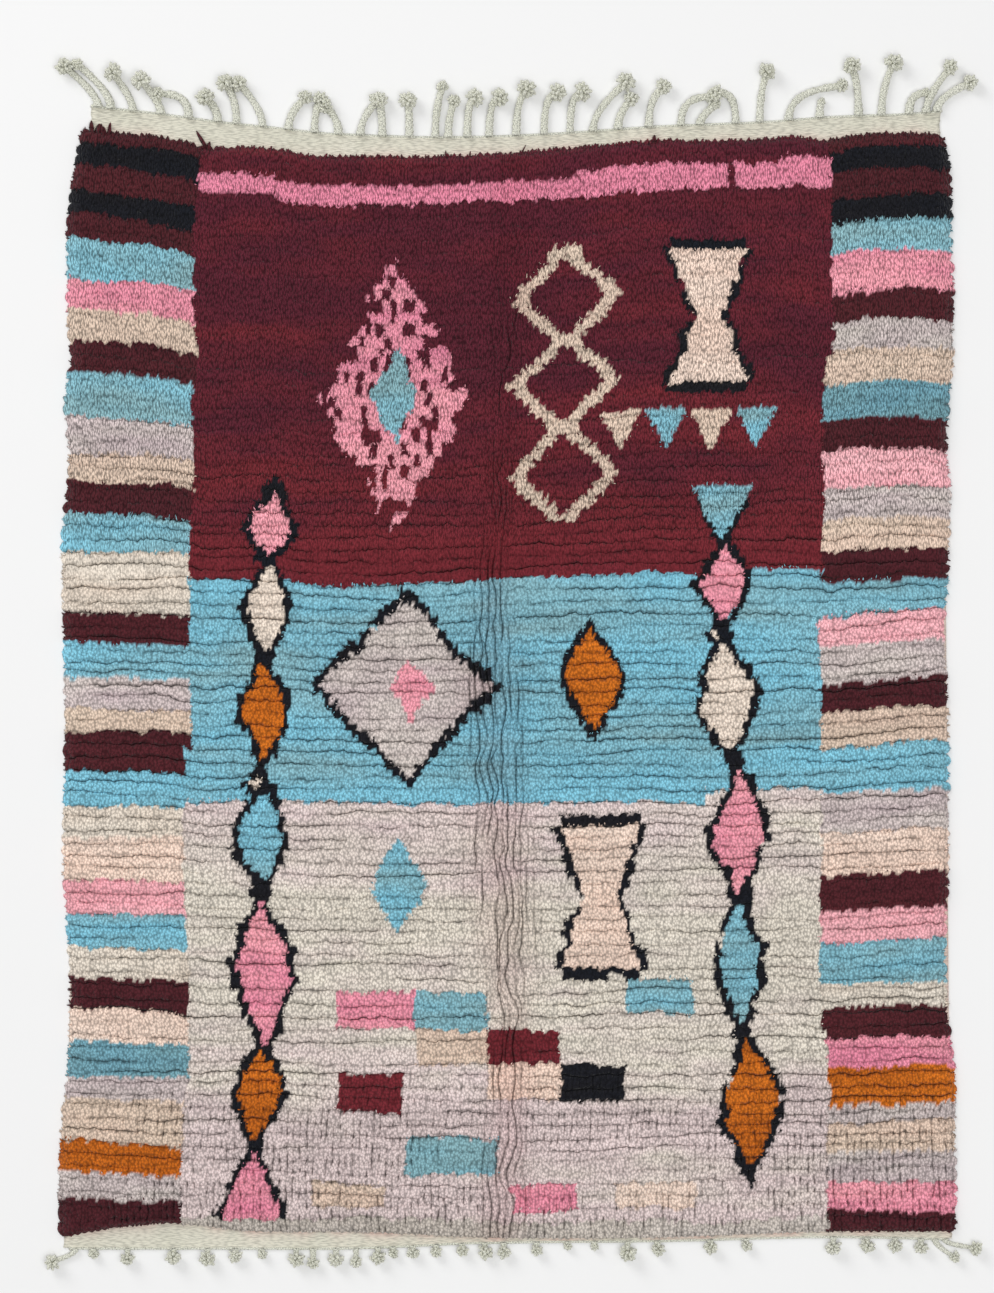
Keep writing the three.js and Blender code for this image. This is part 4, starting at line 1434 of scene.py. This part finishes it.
def finishing_edge(name, edges, outwards, start, stop):
    """The fine plied line along a heading's edge, carried along the edge curve."""
    x = np.arange(start, stop, EDGE_CORD["step"])
    middle = EDGE_STRIP["gap"] + EDGE_STRIP["width"] / 2
    line = np.stack([x, edge(edges, "heading", x) + outwards * middle], axis=-1)[None]
    way = np.gradient(line, axis=1)
    way = way / np.linalg.norm(way, axis=-1, keepdims=True)
    return plied_cords(f"{name}_finishing_edge", line, way, EDGE_CORD["thick"], EDGE_CORD["pitch"])


def fringe(spec):
    """A fringe in three pieces: its cords, their bunches and the finishing edge."""
    line, way = cord_routes(spec["cords"], spec["edges"], spec["outwards"], spec["steps"])
    name = spec["name"]
    radius = spec["cords"][:, CORD_COLUMNS["puff"]]
    cords = plied_cords(f"{name}_cords", line, way, spec["thick"], spec["pitch"])
    tied = bunches(f"{name}_bunches", line[:, -1], way[:, -1], radius, spec["fingers"])
    finish = finishing_edge(name, spec["edges"], spec["outwards"], spec["from"], spec["to"])
    return [cords, tied, finish]


TOP_FRINGE, BOTTOM_FRINGE = (fringe(spec) for spec in FRINGES)

# %% [markdown]
# ## Finishes
# All of it is wool, so one node group serves every material: rounded tufts, lighter in the middle and
# darkened by painted shade in the seams between them, and finer fibres over them. The group gives a
# shade factor and a height. The pile adds its own dyed colour and painted shade in the furrows, and
# the undyed wool of the ground and the cords adds broad, faint stains. Wool scatters light at its
# edges, so each shader has some sheen.

# %% Node helpers


def feed(tree, node, inputs):
    """Gives inputs of a node their values: a constant, or the output that is linked to them."""
    for key, source in inputs.items():
        if isinstance(source, bpy.types.NodeSocket):
            tree.links.new(source, node.inputs[key])
        else:
            node.inputs[key].default_value = source


def add_node(tree, kind, inputs, operation=None):
    """Adds a shader node of a kind to a node tree and feeds its inputs."""
    node = tree.nodes.new(f"ShaderNode{kind}")
    if operation is not None:
        node.operation = operation
    feed(tree, node, inputs)
    return node


# %% Wool tuft node group
GROUP_SOCKETS = {
    "INPUT": {"Place": "Vector", "Stretch": "Vector", "Tufts per metre": "Float", "Contrast": "Float"},
    "OUTPUT": {"Factor": "Float", "Height": "Float"},
}
TUFT_ROUNDING = {"From Min": 0.75, "From Max": 0.2}
FIBRES = {"Detail": 3.0, "Roughness": 0.7}
FIBRES_PER_TUFT = 1.6
USUAL_HEIGHT = 1.03


def make_tuft_group():
    """Wool tufts: rounded cells, lighter in the middle with painted shade in the seams between them,
    and finer fibre noise over them. The place is stretched along the tufts before both are read. Their
    sum is the height, and a factor about one, with a given contrast, lightens and darkens the colour
    with it."""
    group = bpy.data.node_groups.new("wool_tufts_and_seam_shade", "ShaderNodeTree")
    for way, sockets in GROUP_SOCKETS.items():
        for name, kind in sockets.items():
            group.interface.new_socket(name=name, in_out=way, socket_type=f"NodeSocket{kind}")
    given = group.nodes.new("NodeGroupInput").outputs
    results = group.nodes.new("NodeGroupOutput")
    per_metre = given["Tufts per metre"]
    drawn = add_node(group, "VectorMath", {0: given["Place"], 1: given["Stretch"]}, "MULTIPLY")
    place = drawn.outputs["Vector"]
    cells = add_node(group, "TexVoronoi", {"Vector": place, "Scale": per_metre})
    cells.voronoi_dimensions = "2D"
    tuft = add_node(group, "MapRange", {"Value": cells.outputs["Distance"], **TUFT_ROUNDING})
    finer = add_node(group, "Math", {0: per_metre, 1: FIBRES_PER_TUFT}, "MULTIPLY")
    fibres = add_node(group, "TexNoise", {"Vector": place, "Scale": finer.outputs[0], **FIBRES})
    both = {0: tuft.outputs["Result"], 1: fibres.outputs["Fac"]}
    height = add_node(group, "Math", both, "ADD").outputs[0]
    spread = add_node(group, "Math", {0: height, 1: USUAL_HEIGHT}, "SUBTRACT")
    about_one = {0: spread.outputs[0], 1: given["Contrast"], 2: 1.0}
    factor = add_node(group, "Math", about_one, "MULTIPLY_ADD").outputs[0]
    feed(group, results, {"Factor": factor, "Height": height})
    return group


TUFT_AND_SEAM_SHADE_GROUP = make_tuft_group()

# %% Material helpers
WOOL_SHADER = {"Roughness": 0.95, "Specular IOR Level": 0.15, "Sheen Roughness": 0.45}
RELIEF_STRENGTH = 0.9


def new_material(name, sheen):
    """A rough wool shader, with its constant values set on the shader itself."""
    material = bpy.data.materials.new(name)
    material.use_nodes = True
    tree = material.node_tree
    shader = tree.nodes["Principled BSDF"]
    feed(tree, shader, {**WOOL_SHADER, "Sheen Weight": sheen})
    return material, tree, shader


def add_tufts(tree, place, look):
    """Places the tuft group in a material and returns its two outputs."""
    tufts = tree.nodes.new("ShaderNodeGroup")
    tufts.node_tree = TUFT_AND_SEAM_SHADE_GROUP
    feed(tree, tufts, {"Place": place, **look})
    return tufts.outputs["Factor"], tufts.outputs["Height"]


def add_relief(tree, shader, height, distance):
    """Sends a height to the shader's normal through a bump."""
    relief = {"Strength": RELIEF_STRENGTH, "Distance": distance, "Height": height}
    feed(tree, shader, {"Normal": add_node(tree, "Bump", relief).outputs["Normal"]})


def attribute(tree, name):
    """Reads an attribute that the piece carries."""
    reader = add_node(tree, "Attribute", {})
    reader.attribute_name = name
    return reader.outputs


def blended(tree, share, first, second, kind="FLOAT"):
    """Blends two values, or two colours, by a share."""
    mix = tree.nodes.new("ShaderNodeMix")
    mix.data_type = kind
    tree.links.new(share, mix.inputs["Factor"])
    sockets = [socket for socket in mix.inputs if socket.enabled and socket.name in ("A", "B")]
    for socket, source in zip(sockets, (first, second)):
        if isinstance(source, tuple):
            socket.default_value = source
        else:
            tree.links.new(source, socket)
    return next(socket for socket in mix.outputs if socket.enabled)


def scaled_colour(tree, colour, factor):
    """A colour times a factor, as a vector multiplication."""
    return add_node(tree, "VectorMath", {0: colour, "Scale": factor}, "SCALE").outputs["Vector"]


# %% Dyed pile
# Contrast is how strongly the tufts' painted seam shade and fibre grain darken and lighten the wool
CRUMB = {"Stretch": (1.0, 0.75, 1.0), "Tufts per metre": 195.0, "Contrast": 0.66}
STREAK = {"Stretch": (1.0, 0.42, 0.8), "Tufts per metre": 290.0, "Contrast": 0.95}
PILE_RELIEF = 0.003
PILE_SHEEN, UNDYED_SHEEN = 0.1, 0.15
# painted shade in the furrows: the colour falls to this share where the root mask is full
FURROW_SHADE_RANGE = {"To Min": 1.0, "To Max": 0.31}


def pile_material():
    """The dyed pile: the knot's own colour, darkened down in the furrows as painted shade. The tufts,
    with painted shade in their seams, are crumbs in the lower rows and long vertical streaks where the
    pile is brushed."""
    material, tree, shader = new_material("dyed_pile_wool", PILE_SHEEN)
    place = add_node(tree, "TexCoord", {}).outputs["Object"]
    crumb, crumb_height = add_tufts(tree, place, CRUMB)
    streak, streak_height = add_tufts(tree, place, STREAK)
    share = attribute(tree, "brushed")["Fac"]
    factor = blended(tree, share, crumb, streak)
    add_relief(tree, shader, blended(tree, share, crumb_height, streak_height), PILE_RELIEF)
    # painted furrow shade: the root mask scales the wool's colour down in the furrows
    furrow_shade = add_node(tree, "MapRange", {"Value": attribute(tree, "root")["Fac"], **FURROW_SHADE_RANGE})
    lit = scaled_colour(tree, attribute(tree, "wool")["Color"], factor)
    feed(tree, shader, {"Base Color": scaled_colour(tree, lit, furrow_shade.outputs["Result"])})
    return material


# %% Undyed ground and cords
STAINS = {"Scale": 14.0, "Detail": 2.0}
UNDYED = {
    # colour of the wool, of its stains and of the wool that the mask marks; look; relief in metres
    "undyed_ground_wool": {
        "colours": [(226, 222, 207), (208, 207, 190), (226, 190, 180)], "relief": 0.0006,
        "look": {"Stretch": (0.2, 1.0, 1.0), "Tufts per metre": 380.0, "Contrast": 0.36},
    },
    "undyed_cord_wool": {
        "colours": [(240, 240, 228), (220, 221, 204), (180, 176, 160)], "relief": 0.0014,
        "look": {"Stretch": (1.0, 1.0, 1.0), "Tufts per metre": 360.0, "Contrast": 0.6},
    },
}


def undyed_material(name, colours, look, relief):
    """Undyed wool: two near colours in broad stains, a third where the mask marks bled dye, all
    times the tufts' factor with its painted seam shade."""
    material, tree, shader = new_material(name, UNDYED_SHEEN)
    place = add_node(tree, "TexCoord", {}).outputs["Object"]
    factor, height = add_tufts(tree, place, look)
    add_relief(tree, shader, height, relief)
    stains = add_node(tree, "TexNoise", {"Vector": place, **STAINS}).outputs["Fac"]
    main, stained, dyed = ((*linear(colour), 1.0) for colour in colours)
    tint = blended(tree, stains, main, stained, "RGBA")
    tint = blended(tree, attribute(tree, "root")["Fac"], tint, dyed, "RGBA")
    feed(tree, shader, {"Base Color": scaled_colour(tree, tint, factor)})
    return material


PILE_WOOL = pile_material()
GROUND_WOOL, CORD_WOOL = (undyed_material(name, **wool) for name, wool in UNDYED.items())

# %% [markdown]
# ## Putting it together
# Every piece gets its wool and rides on the rug's one body, and the solid of the frame that it
# stands for is hidden. The ground cloth is woven, and the pile, the locks and the fringes go with it.

# %% Finishes, bodies and the solids they stand for
PARTS = [
    # pieces, material, slot, solid of the frame
    ([ground_cloth], GROUND_WOOL, "ground_wool", "ground_weave"),
    (PILE_BANDS + LOCK_PIECES, PILE_WOOL, "pile_wool", "knotted_pile"),
    (TOP_FRINGE, CORD_WOOL, "fringe_wool", "fringe_top"),
    (BOTTOM_FRINGE, CORD_WOOL, "fringe_wool", "fringe_bottom"),
]
for pieces, material, slot, node in PARTS:
    for piece in pieces:
        piece.data.materials.append(material)
        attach(piece, BODY)
        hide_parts(node)

# %% Floor
FLOOR_SIDE = 30.0
FLOOR_COLOUR = (0.93, 0.93, 0.93, 1.0)


def lay_floor():
    """A plain pale floor under the rug: one square, level with the frame's zero."""
    half = FLOOR_SIDE / 2
    corners = [(-half, -half, 0), (half, -half, 0), (half, half, 0), (-half, half, 0)]
    mesh = bpy.data.meshes.new("floor")
    mesh.from_pydata(corners, [], [(0, 1, 2, 3)])
    floor = bpy.data.objects.new("floor", mesh)
    bpy.context.scene.collection.objects.link(floor)
    material = bpy.data.materials.new("pale_floor")
    material.use_nodes = True
    shader = material.node_tree.nodes["Principled BSDF"]
    shader.inputs["Base Color"].default_value = FLOOR_COLOUR
    shader.inputs["Roughness"].default_value = 0.9
    shader.inputs["Specular IOR Level"].default_value = 0.1
    mesh.materials.append(material)
    return floor


floor = lay_floor()
